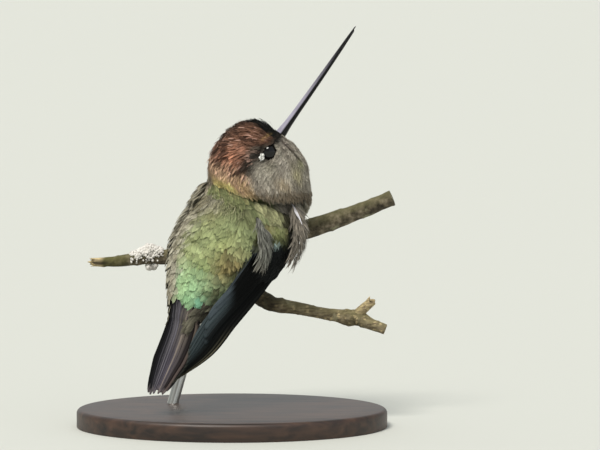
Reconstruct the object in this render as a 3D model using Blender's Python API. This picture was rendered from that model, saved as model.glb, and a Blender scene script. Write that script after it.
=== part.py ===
"""A green-fronted lancebill, a long-billed hummingbird, at life size on a forked perch.

A still museum model. The bird sits hunched with fluffed plumage, its back towards -Y and its
head turned to its right, so that the bill points up and towards +X. Z is up. The origin is the
middle of the underside of the stand's base. Lengths are in millimetres until a mesh is made.
"""

import math

import bmesh
import bpy
import numpy as np

MM = 0.001
GAP = 0.3            # clearance between pieces that touch

# The bird's spine, from the tip of the tail to the base of the bill. Each row is a place
# (x, y, z), the lean of the spine above +X and its slope away from -Y in degrees, the roll of
# the back from -Y towards -X, and the reach of the plumage to the back, the front and the side.
SPINE = (
    (-20.2, -15.7, 10.3, 70, 17, 28, 0.5, 0.5, 2.6),      # 0 tail tip
    (-16.5, -12.6, 19.5, 69, 19, 28, 0.6, 0.6, 4.4),      # 1 tail middle
    (-13.0, -8.8, 29.4, 65, 22, 28, 2.3, 2.3, 4.0),       # 2 tail root
    (-11.3, -7.0, 33.6, 61, 23, 28, 4.8, 5.0, 5.8),       # 3 vent
    (-7.8, -4.0, 39.5, 59, 23, 28, 8.8, 9.4, 10.2),       # 4 rump
    (-4.1, -0.5, 45.4, 59, 23, 28, 11.2, 12.0, 12.7),     # 5 belly
    (-0.3, 2.0, 51.1, 60, 20, 28, 11.8, 12.8, 13.5),      # 6 middle of the back
    (3.0, 4.0, 56.6, 63, 13, 33, 11.4, 13.4, 13.5),       # 7 breast
    (5.1, 5.0, 61.1, 67, 6, 46, 11.6, 15.7, 13.4),        # 8 collar
    (6.5, 4.5, 65.5, 70, 1, 62, 13.5, 16.2, 12.8),        # 9 neck
    (7.8, 4.0, 70.2, 68, 0, 74, 13.2, 14.4, 11.3),        # 10 ear
    (9.5, 3.5, 74.3, 62, 2, 78, 11.5, 12.6, 9.6),         # 11 eye
    (11.3, 3.0, 77.1, 56, 4, 78, 9.2, 10.6, 7.2),         # 12 lores
    (12.6, 3.0, 78.6, 54, 5, 78, 5.9, 6.6, 4.6),          # 13 gape
    (13.4, 3.0, 79.5, 54, 5, 78, 1.9, 1.9, 1.9),          # 14 bill base
)
TAIL_ROOT, COLLAR, NAPE, BILL_BASE = 2, 8, 9.3, 14
BODY_SIDES = 24
CUT_SPACING = 4.5                    # length of one spine place at the cuts

EYE_RADIUS = 2.35
EYE_PLACE = (11.15, 7.55, 1.5)       # spine place, to the side, to the back

BILL_LENGTH = 35.0
BILL_UPTURN = 0.5                    # rise of the tip above a straight bill
BILL_HEIGHT = ((0, 2.9), (0.06, 2.3), (0.2, 1.85), (0.5, 1.5), (0.75, 1.15), (0.93, 0.8), (1, 0.5))
BILL_WIDTH_RATIO = 1.1
LOWER_BILL_SHARE = 0.97              # the lower half ends just short of the upper

# Each wing is a folded stack between a leading and a trailing edge, both given from shoulder
# to tip as (spine place, to the right, to the back).
WING_EDGES = {
    "right": (
        ((8.0, 12.3, -5.2), (6.35, 16.0, -3.3), (4.95, 17.0, -2.5), (3.4, 15.9, -2.2),
         (1.46, 11.6, -0.9), (0.38, 4.2, 2.7)),
        ((6.85, 11.0, 9.3), (5.25, 11.7, 8.1), (3.9, 10.3, 5.0), (2.05, 7.2, 3.8),
         (1.24, 5.3, 3.9), (0.45, 3.6, 3.4)),
    ),
    "left": (
        ((7.7, -11.6, -6.6), (6.3, -14.0, -6.8), (4.9, -12.9, -6.4), (3.4, -7.4, -5.0),
         (1.6, -3.9, -3.4), (0.45, -1.8, -2.3)),
        ((6.6, -11.6, 7.4), (5.3, -12.2, 5.6), (4.0, -10.0, 2.6), (2.6, -5.8, -0.6),
         (1.4, -4.4, -1.4), (0.5, -3.0, -1.8)),
    ),
}
COVERTS_END = 0.30                   # share of the wing's length under the small coverts
COVERTS_RISE, COVERTS_DROP, COVERTS_DEPTH = 2.0, 2.4, 5.5
PRIMARY_ENDS = (1.0, 0.985, 0.965, 0.94, 0.91, 0.88, 0.85, 0.82, 0.78)
SECONDARY_ENDS = (0.62, 0.6, 0.57, 0.53, 0.48)
SECONDARY_SPAN = (0.45, 1.1)         # where they lie between leading and trailing edge
SECONDARY_LIFT = 1.15
VANE_THICKNESS = 0.55
VANE_STEP = 0.28                     # rise of each vane over the next

TAIL_START = 2.85                    # spine place where the tail feathers leave the body
RECTRIX_ENDS = (0.955, 0.975, 0.985, 0.995, 1.0, 1.0, 0.995, 0.985, 0.975, 0.955)
TAIL_HALF_WIDTHS = (3.1, 4.5, 3.4)   # at the tip, the middle and the root
TAIL_ARCH = 0.9

# Centre line of the flank tuft: (spine place, to the right, to the back, half width)
FLANK_TUFT = ((8.7, 12.6, -5.2, 0.7), (7.6, 17.4, -3.4, 1.9), (6.5, 19.1, -2.2, 2.3), (5.2, 19.2, -2.0, 0.5))
TUFT_THICKNESS = 0.9

# The perch: (x, y, z, radius) from the broken end on the left to the cut end on the right,
# and the twig that forks from it behind the bird.
BRANCH = (
    (-37.6, 16.4, 42.9, 1.15), (-32.4, 17.0, 43.0, 1.4), (-24.8, 17.7, 43.8, 1.75),
    (-17.8, 18.4, 44.2, 2), (-8.6, 19.4, 45.5, 2.35), (0.0, 19.6, 47.4, 2.4),
    (10.3, 19.6, 49.5, 2.5), (21.3, 18.9, 52.0, 2.65), (33.2, 17.4, 56.2, 2.2),
    (43.5, 16.5, 60.5, 2.05),
)
TWIG = (
    (-5.0, 19.5, 46.0, 1.9), (0.6, 19.1, 41.0, 2), (5.4, 18.1, 35.5, 2.2),
    (9.9, 16.6, 31.8, 2.2), (18.4, 14.6, 30.3, 1.65), (27.0, 13.4, 28.8, 1.6),
    (31.4, 12.8, 28.2, 2.2), (34.6, 12.4, 27.8, 2.1), (38.0, 11.9, 26.3, 1.55),
    (41.6, 11.4, 25.0, 1.45),
)
SPUR = ((33.2, 12.5, 28.3, 1.5), (35.6, 12.0, 30.5, 1.3), (38.0, 11.4, 32.9, 1.25))
BRANCH_STEPS, BRANCH_SIDES = 26, 10
TWIG_STEPS, TWIG_SIDES = 21, 8
BRANCH_GNARL, TWIG_GNARL = 0.035, 0.05
BREAK_SLANT = 1.6                    # how far the break leans back over its height
LICHEN_RANGE = (1.75, 2.75)          # places along the branch
LICHEN_ANGLE = 1.5                   # reach to each side of the top, in radians
LICHEN_EDGE, LICHEN_HEIGHT, LICHEN_CRUMBLE = 0.5, 1.0, 0.3
SPUR_HOLLOW = 0.62                   # bore of the broken spur over its radius
BARK_RISE = 1.07                     # the bark's highest lumps over its radius
HIP_OFFSET = (-1.2, -3.4, 1.6)       # from ankle to the top of the leg
FOOT_PLACES = {"left": 5.15, "right": 5.85}          # places along the branch
TOE_SPREAD = (-1.25, 0.0, 1.25)      # of the three front toes, along the branch
TOE_RADIUS = 0.42
FRONT_TOE_END, HIND_TOE_END = 150, -118              # degrees from the top of the branch
SOLE_RADIUS = 0.75
LEG_RADII = (1.9, 1.5, 0.7)          # at the belly, the middle and the ankle

BASE_LENGTH, BASE_DEPTH, BASE_HEIGHT = 84.0, 62.0, 5.0
BASE_BEVEL = 1.2
ROD_RADIUS = 1.5
ROD_FOOT = (-17.0, 10.0, 2.4)
ROD_HEAD = (-4.6, 19.4, 45.0)


def clear_scene():
    """Remove whatever the file holds."""
    for item in list(bpy.data.objects):
        bpy.data.objects.remove(item, do_unlink=True)


def linear(hex_colour):
    """The linear RGBA of an sRGB hex colour."""
    parts = [int(hex_colour[i:i + 2], 16) / 255 for i in (0, 2, 4)]
    parts = [c / 12.92 if c <= 0.04045 else ((c + 0.055) / 1.055) ** 2.4 for c in parts]
    return (*parts, 1.0)


def finish(name, hex_colour, roughness, metallic=0.0):
    """A Principled material."""
    material = bpy.data.materials.new(name)
    material.use_nodes = True
    shader = material.node_tree.nodes["Principled BSDF"]
    shader.inputs["Base Color"].default_value = linear(hex_colour)
    shader.inputs["Roughness"].default_value = roughness
    shader.inputs["Metallic"].default_value = metallic
    return material


def smooth(rows, places):
    """A Catmull-Rom curve through the rows of a table, at places counted in rows."""
    rows = np.asarray(rows, float)
    places = np.asarray(places, float)
    last = len(rows) - 1
    start = np.clip(np.floor(places).astype(int), 0, last - 1)
    part = (places - start)[..., None]
    padded = np.vstack([2 * rows[0] - rows[1], rows, 2 * rows[-1] - rows[-2]])
    a, b, c, d = (padded[start + i] for i in range(4))
    cubic = (3 * b - a - 3 * c + d) * part ** 3 + (2 * a - 5 * b + 4 * c - d) * part ** 2
    return 0.5 * (cubic + (c - a) * part + 2 * b)


def unit(vectors):
    """The vectors at length one."""
    return vectors / np.linalg.norm(vectors, axis=-1, keepdims=True)


def spine_frame(places):
    """The spine's point, its direction, and the directions to the back and the right side."""
    rows = smooth(SPINE, places)
    lean, away, roll = (np.radians(rows[..., i]) for i in (3, 4, 5))
    along = np.stack([np.cos(lean) * np.cos(away), np.sin(away), np.sin(lean) * np.cos(away)], -1)
    near = np.zeros_like(along)
    near[..., 1] = -1.0
    near = unit(near - np.sum(near * along, -1)[..., None] * along)
    across = np.cross(along, near)
    turn, rest = np.cos(roll)[..., None], np.sin(roll)[..., None]
    return rows[..., :3], along, turn * near - rest * across, turn * across + rest * near


def bird_point(rows):
    """Points given as (spine place, to the right, to the back)."""
    rows = np.asarray(rows, float)
    centre, _, back, right = spine_frame(rows[..., 0])
    return centre + rows[..., 1:2] * right + rows[..., 2:3] * back


def body_rings(places, grow=0.0):
    """Rings of plumage round the spine: two half ellipses, one for the back, one for the front."""
    centre, _, back, right = spine_frame(places)
    to_back, to_front, to_side = (smooth(SPINE, places)[:, i, None] + grow for i in (6, 7, 8))
    angle = np.linspace(0, 2 * np.pi, BODY_SIDES, endpoint=False)
    depth = np.where(np.cos(angle) > 0, to_back, to_front) * np.cos(angle)
    width = to_side * np.sin(angle)
    return centre[:, None] + depth[..., None] * back[:, None] + width[..., None] * right[:, None]


def add_object(name, points, faces, material=None):
    """A smooth-shaded mesh object from points in millimetres."""
    mesh = bpy.data.meshes.new(name)
    mesh.from_pydata((np.asarray(points).reshape(-1, 3) * MM).tolist(), [], faces)
    mesh.validate()
    if material:
        mesh.materials.append(material)
    mesh.shade_smooth()
    mesh.set_sharp_from_angle(angle=math.radians(40))
    item = bpy.data.objects.new(name, mesh)
    bpy.context.scene.collection.objects.link(item)
    return item


def add_loft(name, rings, material=None):
    """A closed skin over rings of points, with a flat cap at each end."""
    rows, sides = rings.shape[:2]
    faces = []
    for row in range(rows - 1):
        for side in range(sides):
            after = (side + 1) % sides
            low, high = row * sides, (row + 1) * sides
            faces.append((low + side, low + after, high + after, high + side))
    faces.append(tuple(range(sides - 1, -1, -1)))
    faces.append(tuple(range((rows - 1) * sides, rows * sides)))
    item = add_object(name, rings, faces, material)
    face_outwards(item)
    return item


def tube_rings(rows, steps, sides, grow=0.0, slant=0.0, gnarl=0.0):
    """Rings round a smooth path of (x, y, z, radius) rows, lumpy by gnarl, the first slanted."""
    places = np.linspace(0, len(rows) - 1, steps)
    path = smooth(rows, places)
    centre, radius = path[:, :3], path[:, 3]
    along = unit(np.gradient(centre, axis=0))
    aside = unit(np.cross(along, (0.0, 1.0, 0.05)))
    over = np.cross(aside, along)
    angle = np.linspace(0, 2 * np.pi, sides, endpoint=False)
    wander = places[:, None]
    lump = 1 + gnarl * (np.sin(2 * angle + 2.3 * wander) + np.sin(5.1 * wander - angle))
    reach = (radius[:, None] * lump + grow)[..., None]
    rings = centre[:, None] + reach * (
        np.cos(angle)[:, None] * over[:, None] - np.sin(angle)[:, None] * aside[:, None])
    rings[0] += slant * (rings[0, :, 2] - centre[0, 2])[:, None] * along[0]
    return rings


def add_ball(name, centre, radius, material=None, segments=16):
    """A ball."""
    mesh = bpy.data.meshes.new(name)
    shape = bmesh.new()
    bmesh.ops.create_uvsphere(shape, u_segments=segments, v_segments=segments * 5 // 8, radius=1)
    bmesh.ops.scale(shape, vec=[radius * MM] * 3, verts=shape.verts)
    bmesh.ops.translate(shape, vec=[c * MM for c in centre], verts=shape.verts)
    shape.to_mesh(mesh)
    shape.free()
    if material:
        mesh.materials.append(material)
    mesh.shade_smooth()
    item = bpy.data.objects.new(name, mesh)
    bpy.context.scene.collection.objects.link(item)
    return item


def combine(item, tool, operation="DIFFERENCE"):
    """Cut the tool out of the item, or join it on, and remove the tool."""
    boolean = item.modifiers.new(operation, "BOOLEAN")
    boolean.operation = operation
    boolean.solver = "EXACT"
    boolean.object = tool
    graph = bpy.context.evaluated_depsgraph_get()
    result = bpy.data.meshes.new_from_object(item.evaluated_get(graph))
    item.modifiers.clear()
    item.data = result
    bpy.data.objects.remove(tool, do_unlink=True)


def edge_surface(edges, share, across):
    """Points at a share of the wing's length and a fraction of the way between its edges."""
    lead, trail = (bird_point(np.asarray(edge, float)) for edge in edges)
    place = share * (len(lead) - 1)
    return (1 - across)[..., None] * smooth(lead, place) + across[..., None] * smooth(trail, place)


def add_vanes(name, edges, start, ends, span, lift, outward, material, grow=0.0):
    """Folded feathers side by side, each a thin vane lapping over the next, with round tips."""
    count = len(ends)
    fraction = np.array([[i + 0.03, i + 0.5, i + 0.97] for i in range(count)]).ravel() / count
    across = span[0] + (span[1] - span[0]) * fraction
    tips = np.repeat(ends, 3) - np.tile([0.02, 0.0, 0.03], count)
    along = np.linspace(0, 1, 6)[:, None]
    share = start + along * (tips - start)
    across = np.broadcast_to(across, share.shape)
    middle = edge_surface(edges, share, across)
    ahead = edge_surface(edges, share + 0.01, across)
    beside = edge_surface(edges, share, across + 0.01)
    normal = unit(np.cross(ahead - middle, beside - middle))
    normal *= np.sign(np.sum(normal * outward, -1))[..., None]
    step = np.tile([0.0, 0.5, 1.0], count) * VANE_STEP
    upper = middle + normal * (lift + VANE_THICKNESS / 2 + step + grow)[..., None]
    lower = middle + normal * np.full(count * 3, lift - VANE_THICKNESS / 2 - grow)[..., None]
    return add_slab(name, upper, lower, material)


def add_slab(name, upper, lower, material):
    """A closed slab between two grids of the same size."""
    rows, columns = upper.shape[:2]
    size = rows * columns
    index = np.arange(size).reshape(rows, columns)
    cells = np.stack([index[:-1, :-1], index[:-1, 1:], index[1:, 1:], index[1:, :-1]], -1)
    faces = cells.reshape(-1, 4).tolist() + (cells[..., ::-1] + size).reshape(-1, 4).tolist()
    rim = np.concatenate([index[0, :-1], index[:-1, -1], index[-1, :0:-1], index[:0:-1, 0]])
    for here, after in zip(rim, np.roll(rim, -1)):
        faces.append((int(after), int(here), int(here + size), int(after + size)))
    item = add_object(name, np.concatenate([upper.reshape(-1, 3), lower.reshape(-1, 3)]), faces, material)
    face_outwards(item)
    return item


def face_outwards(item):
    """Turn the faces of a closed mesh outwards."""
    shape = bmesh.new()
    shape.from_mesh(item.data)
    bmesh.ops.recalc_face_normals(shape, faces=shape.faces)
    shape.to_mesh(item.data)
    shape.free()


def section(start, end, count, ease=0.0):
    """Places along the spine between two cuts, closer together at the end by ease."""
    share = np.linspace(0, 1, count)
    return start + (end - start) * (share + ease * share * (1 - share))


def build_body():
    """Trunk, neck and head: one smooth form parted by two thin cuts square to the spine."""
    half_cut = GAP / 2 / CUT_SPACING
    parts = (
        ("trunk", TAIL_ROOT, COLLAR - half_cut, 13, 0.0, "9a9c78"),
        ("neck", COLLAR + half_cut, NAPE - half_cut, 4, 0.0, "8f8478"),
        ("head", NAPE + half_cut, BILL_BASE, 14, 0.5, "7d5a4b"),
    )
    body = {}
    for name, start, end, rings, ease, colour in parts:
        shape = body_rings(section(start, end, rings, ease))
        body[name] = add_loft(name, shape, finish(name + "_feathers", colour, 0.75))
    return body


def grown_body(start, end):
    """A tool as large as the body's plumage plus the clearance."""
    return add_loft("tool", body_rings(section(start, end, 22), GAP))


def build_eyes(head):
    """Two glossy balls, each in a socket a clearance wider."""
    glossy = finish("eye_gloss", "0c0a0b", 0.06)
    place, side, back = EYE_PLACE
    for name, sign in (("eye_right", 1), ("eye_left", -1)):
        centre = bird_point((place, sign * side, back))
        add_ball(name, centre, EYE_RADIUS, glossy, 14)
        combine(head, add_ball("tool", centre, EYE_RADIUS + GAP, segments=14))


def build_bill():
    """The two halves of the bill, each a tapering half oval with a flat mouth line."""
    base, along, back, right = spine_frame(np.float64(BILL_BASE))
    heights = np.asarray(BILL_HEIGHT)
    horn = finish("bill_horn", "2b282d", 0.3)
    arc = np.linspace(-np.pi / 2, np.pi / 2, 7)
    for name, sign, reach in (("bill_upper", 1, 1.0), ("bill_lower", -1, LOWER_BILL_SHARE)):
        share = np.linspace(0, reach, 10)
        height = np.interp(share, heights[:, 0], heights[:, 1])
        rise = BILL_UPTURN * share ** 2
        axis = base + (GAP + share * (BILL_LENGTH - GAP))[:, None] * along + rise[:, None] * back
        deep = GAP / 2 + (height / 2 - GAP / 2)[:, None] * np.cos(arc)
        deep[:, [0, -1]] = GAP / 2
        wide = (BILL_WIDTH_RATIO * height / 2)[:, None] * np.sin(arc) * sign
        rings = axis[:, None] + sign * deep[..., None] * back + wide[..., None] * right
        add_loft(name, rings, horn)


def build_wing(side, trunk):
    """Coverts over the folded arm, then the flight feathers: secondaries lying on primaries."""
    edges = WING_EDGES[side]
    sign = 1 if side == "right" else -1
    outward = spine_frame(np.float64(5.0))[3] * sign
    vane = finish(f"wing_{side}_vanes", "3d4046", 0.5)
    start = COVERTS_END + 0.012
    stacks = (
        (f"wing_{side}_primaries", PRIMARY_ENDS, (0.0, 1.0), 0.0),
        (f"wing_{side}_secondaries", SECONDARY_ENDS, SECONDARY_SPAN, SECONDARY_LIFT),
    )
    for name, ends, span, lift in stacks:
        add_vanes(name, edges, start, ends, span, lift, outward, vane)
        tool = add_vanes("tool", edges, start, ends, span, lift, outward, None, GAP)
        combine(trunk, tool)
    length, width = np.meshgrid(np.linspace(0, 1, 8), np.linspace(-1, 1, 9), indexing="ij")
    middle = edge_surface(edges, length * COVERTS_END, 0.52 + 0.56 * width)
    dome = COVERTS_RISE * np.cos(width * np.pi / 2) * np.sin(np.pi * (0.2 + 0.6 * length))
    drop = COVERTS_DROP * (np.abs(width) ** 5 + (1 - length) ** 4)
    upper = middle + (0.4 + dome - drop)[..., None] * outward
    lower = middle - COVERTS_DEPTH * outward
    coverts = add_slab(f"wing_{side}_coverts", upper, lower, finish(f"wing_{side}_coverts", "7c8458", 0.7))
    combine(coverts, grown_body(3.0, NAPE))


def tail_grids(grow=0.0):
    """The upper and lower surface of ten folded tail feathers, the middle pair on top."""
    count = len(RECTRIX_ENDS)
    share = np.linspace(0, 1, 6)[:, None]
    fraction = np.array([[i + 0.04, i + 0.5, i + 0.96] for i in range(count)]).ravel() / count * 2 - 1
    notch = np.tile([0.035, 0.0, 0.035], count) * share ** 6
    places = TAIL_START * (1 - share * np.repeat(RECTRIX_ENDS, 3)) + notch
    sideways = (np.interp(places, (0, 1, TAIL_START), TAIL_HALF_WIDTHS) + grow) * fraction
    arch = TAIL_ARCH * (1 - fraction ** 2) + 0 * places
    step = np.where(fraction < 0, np.tile([0, 0.5, 1], count), np.tile([1, 0.5, 0], count)) * VANE_STEP
    half = VANE_THICKNESS / 2 + grow
    upper = bird_point(np.stack([places, sideways, arch + step + half], -1))
    lower = bird_point(np.stack([places, sideways, arch * 0.6 - half], -1))
    return upper, lower


def build_tail(trunk):
    """The folded tail, its feathers fanned a little, let into the end of the trunk."""
    add_slab("tail", *tail_grids(), finish("tail_vanes", "5f5a66", 0.5))
    combine(trunk, add_slab("tool", *tail_grids(GAP), None))


def build_flank_tuft():
    """Long loose flank feathers that hang over the bend of the right wing."""
    places = np.linspace(0, len(FLANK_TUFT) - 1, 9)
    rows = smooth(FLANK_TUFT, places)
    middle = bird_point(rows[:, :3])
    outward = spine_frame(rows[:, 0])[3]
    aside = unit(np.cross(unit(np.gradient(middle, axis=0)), outward))
    across = np.linspace(-1, 1, 5)
    grid = middle[:, None] + (across[:, None] * aside[:, None]) * rows[:, 3, None, None]
    half = (TUFT_THICKNESS * (1.0 - 0.4 * across ** 2))[:, None] / 2 * outward[:, None]
    tuft = add_slab("flank_tuft_right", grid + half, grid - half, finish("flank_tuft", "a9a49e", 0.8))
    combine(tuft, grown_body(5.0, 10.5))


def branch_rings(grow=0.0, slant=0.0):
    """Rings of the branch, or of a tool as large as the branch plus the clearance."""
    return tube_rings(BRANCH, BRANCH_STEPS, BRANCH_SIDES, grow, slant, BRANCH_GNARL)


def twig_rings(grow=0.0):
    """Rings of the twig, or of a tool as large as the twig plus the clearance."""
    return tube_rings(TWIG, TWIG_STEPS, TWIG_SIDES, grow, gnarl=TWIG_GNARL)


def build_perch():
    """A broken branch and the twig forked from it, with a hollow spur, both behind the bird."""
    bark = finish("bark", "5d4f47", 0.85)
    add_loft("perch_branch", branch_rings(slant=BREAK_SLANT), bark)
    twig = add_loft("perch_twig", twig_rings(), bark)
    spur = add_loft("tool", tube_rings(SPUR, 7, 10))
    mouth = np.asarray(SPUR[-1][:3]) + 0.1 * (np.asarray(SPUR[-1][:3]) - np.asarray(SPUR[-2][:3]))
    combine(spur, add_ball("tool_hollow", mouth, SPUR_HOLLOW * SPUR[-1][3], segments=10))
    combine(twig, spur, "UNION")
    combine(twig, add_loft("tool", branch_rings(GAP)))


def build_lichen():
    """A crumbly crust of lichen saddled over the top of the branch."""
    places = np.linspace(*LICHEN_RANGE, 8)
    path = smooth(BRANCH, places)
    angle = np.linspace(-LICHEN_ANGLE, LICHEN_ANGLE, 7)
    swell = np.sin(np.linspace(0.25, np.pi - 0.25, 8))[:, None] * np.cos(angle * 0.8)
    crumble = LICHEN_CRUMBLE * np.sin(9.0 * places[:, None] + 4.0 * angle) * swell
    inner = path[:, 3, None] * BARK_RISE + GAP + 0 * swell
    outer = inner + LICHEN_EDGE + LICHEN_HEIGHT * swell + crumble
    ring = np.stack([0 * angle, -np.sin(angle), np.cos(angle)], -1)
    low, high = (path[:, None, :3] + reach[..., None] * ring for reach in (inner, outer))
    add_slab("perch_lichen", high, low, finish("lichen", "d8d6cf", 0.95))


def toe_rows(middle, spread, start, end, reach):
    """A toe curled round the branch from one angle to another, then a tapering claw."""
    turn = np.radians(np.linspace(start, end, 6))
    fan = middle[0] + spread * np.linspace(0.25, 1.0, 6)
    size = TOE_RADIUS * np.array([1.15, 1.1, 1.0, 0.95, 0.75, 0.45])
    return np.stack([fan, middle[1] + reach * np.sin(turn), middle[2] + reach * np.cos(turn), size], -1)


def build_legs():
    """Short feathered legs from the belly to small feet with three toes over and one under."""
    skin = finish("foot_skin", "2c2624", 0.55)
    down = finish("leg_feathers", "8d867d", 0.8)
    for side, place in FOOT_PLACES.items():
        row = smooth(BRANCH, np.float64(place))
        middle = row[:3]
        reach = row[3] * BARK_RISE + GAP + TOE_RADIUS
        sole = middle + np.array([0.0, -0.3, reach + 0.1])
        foot = add_ball(f"foot_{side}", sole, SOLE_RADIUS, skin, 12)
        curls = [(spread, -8, FRONT_TOE_END) for spread in TOE_SPREAD] + [(0.3, -5, HIND_TOE_END)]
        for spread, start, end in curls:
            rows = toe_rows(middle, spread, start, end, reach)
            combine(foot, add_loft("tool", tube_rings(rows, 7, 6)), "UNION")
        combine(foot, add_loft("tool", branch_rings(GAP)))
        ankle = sole + np.array([0.0, -0.3, 0.4])
        hip = ankle + np.array(HIP_OFFSET)
        knee = 0.5 * (hip + ankle) + (0, 0, 0.3)
        thick, middling, thin = LEG_RADII
        shank = ((*hip, thick), (*knee, middling), (*ankle, thin))
        leg = add_loft(f"leg_{side}", tube_rings(shank, 6, 12), down)
        combine(leg, add_ball("tool", sole, SOLE_RADIUS + GAP, segments=16))
        combine(leg, grown_body(TAIL_ROOT, COLLAR))
        combine(leg, add_loft("tool", branch_rings(GAP)))


def build_stand():
    """A flat oval base and a slanting rod that carries the perch."""
    turn = np.linspace(0, 2 * np.pi, 48, endpoint=False)
    levels = ((0.0, 0.0), (BASE_HEIGHT - BASE_BEVEL, 0.0), (BASE_HEIGHT, BASE_BEVEL))
    rings = [np.stack([(BASE_LENGTH / 2 - inset) * np.cos(turn), (BASE_DEPTH / 2 - inset) * np.sin(turn),
                       np.full(48, level)], -1) for level, inset in levels]
    base = add_loft("stand_base", np.array(rings), finish("base_wood", "2a2320", 0.4))
    rod_rows = ((*ROD_FOOT, ROD_RADIUS), (*ROD_HEAD, ROD_RADIUS))
    rod = add_loft("stand_rod", tube_rings(rod_rows, 2, 20), finish("rod_steel", "b4b4b2", 0.3, 1.0))
    socket_foot = np.asarray(ROD_FOOT) - unit(np.asarray(ROD_HEAD) - np.asarray(ROD_FOOT)) * GAP
    socket_rows = ((*socket_foot, ROD_RADIUS), (*ROD_HEAD, ROD_RADIUS))
    combine(base, add_loft("tool", tube_rings(socket_rows, 2, 20, GAP)))
    combine(rod, add_loft("tool", branch_rings(GAP)))
    combine(rod, add_loft("tool", twig_rings(GAP)))


def main():
    """Build every piece of the model."""
    clear_scene()
    body = build_body()
    build_eyes(body["head"])
    build_bill()
    for side in ("right", "left"):
        build_wing(side, body["trunk"])
    build_tail(body["trunk"])
    build_flank_tuft()
    build_perch()
    build_lichen()
    build_legs()
    build_stand()


main()
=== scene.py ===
"""A green-fronted lancebill in its plumage, on a forked perch and a plain stand, at life size.

Lengths are in millimetres until a mesh is made. Places on the bird are given along its spine,
counted from the tail's tip (0) to the base of the bill (14), with an angle from the middle of
the back towards the bird's right side, or a distance to the right and to the back.
"""

import math

import bpy
import numpy as np
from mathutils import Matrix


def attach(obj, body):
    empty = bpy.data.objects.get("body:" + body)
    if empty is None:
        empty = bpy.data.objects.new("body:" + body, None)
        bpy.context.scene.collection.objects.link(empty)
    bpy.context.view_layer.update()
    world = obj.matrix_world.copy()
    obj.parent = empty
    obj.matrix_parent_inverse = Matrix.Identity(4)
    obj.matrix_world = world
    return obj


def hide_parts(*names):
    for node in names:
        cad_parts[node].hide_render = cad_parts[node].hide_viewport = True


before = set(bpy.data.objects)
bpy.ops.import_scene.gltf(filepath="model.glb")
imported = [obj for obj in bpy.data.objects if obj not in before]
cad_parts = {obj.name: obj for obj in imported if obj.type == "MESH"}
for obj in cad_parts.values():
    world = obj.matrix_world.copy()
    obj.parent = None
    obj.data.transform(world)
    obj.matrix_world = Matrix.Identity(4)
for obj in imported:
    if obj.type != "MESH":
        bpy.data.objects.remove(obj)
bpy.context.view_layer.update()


# ---- Room -------------------------------------------------------------------------------
# A plain pale floor of matt painted board, lit like a clearing under a bright overcast: soft
# daylight, strongest from above and a little from the left, so that the eye and bill glint.
FLOOR_SIZE = 40.0                    # metres
VIEW_TARGET = (0.0184, 0.003, 0.0545)
VIEW_HEIGHT = math.radians(6)        # above the horizon
VIEW_DISTANCE = 1.5
VIEW_WIDTH = 0.162                   # metres across at the bird
VIEW_RANGE = (0.05, 100.0)           # metres from the camera
FILM_WIDTH = 36.0
SKY_LIGHTS = (                       # direction it comes from, width in degrees, strength, colour
    ("sky_key", (-0.24, -0.5, 0.83), 24, 3.05, "fffaf2"),
    ("sky_fill", (0.7, -0.6, 0.5), 80, 0.35, "eef3ff"),
    ("sky_back", (-0.2, 0.8, 0.7), 70, 0.45, "f4f8ff"),
)


def linear(hex_colour):
    """The linear RGB of an sRGB hex colour."""
    part = np.array([int(hex_colour[i:i + 2], 16) / 255 for i in (0, 2, 4)])
    return np.where(part <= 0.04045, part / 12.92, ((part + 0.055) / 1.055) ** 2.4)


def rgba(hex_colour):
    """The same with an alpha of one, as a node's colour socket takes it."""
    return (*linear(hex_colour).tolist(), 1.0)


def add_node(tree, kind, settings=(), inputs=()):
    """Adds a node: settings are its properties, inputs its sockets, each a value or a link."""
    new = tree.nodes.new("ShaderNode" + kind)
    for key, value in dict(settings).items():
        setattr(new, key, value)
    for key, value in dict(inputs).items():
        if isinstance(value, bpy.types.NodeSocket):
            tree.links.new(value, new.inputs[key])
        else:
            new.inputs[key].default_value = value
    return new


def new_material(name, **sockets):
    """A material with a Principled shader, its sockets set by name with _ for a space."""
    material = bpy.data.materials.new(name)
    material.use_nodes = True
    shader = material.node_tree.nodes["Principled BSDF"]
    for key, value in sockets.items():
        shader.inputs[key.replace("_", " ")].default_value = value
    return material, material.node_tree, shader


def ramp(tree, value, *stops):
    """The colour of a value on a ramp, whose stops are each a value and a colour."""
    blend = add_node(tree, "ValToRGB", inputs={"Fac": value})
    row = blend.color_ramp.elements
    for number, (at, colour) in enumerate(stops):
        stop = row[number] if number < 2 else row.new(at)
        stop.position = at
        stop.color = rgba(colour)
    return blend.outputs["Color"]


scene = bpy.context.scene
scene.view_settings.view_transform = "Standard"

half = FLOOR_SIZE / 2
floor_mesh = bpy.data.meshes.new("floor")
floor_mesh.from_pydata([(-half, -half, 0), (half, -half, 0), (half, half, 0), (-half, half, 0)],
                       [], [(0, 1, 2, 3)])
floor = bpy.data.objects.new("floor", floor_mesh)
scene.collection.objects.link(floor)
paint, tree, shader = new_material("matt_floor_paint", Roughness=0.9, Base_Color=rgba("c8cac4"))
floor_mesh.materials.append(paint)

# The daylight fades from the pale horizon, which the floor runs into, to a dimmer sky overhead.
world = bpy.data.worlds.new("soft_daylight")
scene.world = world
world.use_nodes = True
tree = world.node_tree
towards = add_node(tree, "TexCoord")
height = add_node(tree, "SeparateXYZ", inputs={"Vector": towards.outputs["Generated"]})
fade = ramp(tree, height.outputs["Z"], (0.0, "e4e7df"), (0.35, "a6aaa8"))
tree.links.new(fade, tree.nodes["Background"].inputs["Color"])

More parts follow.
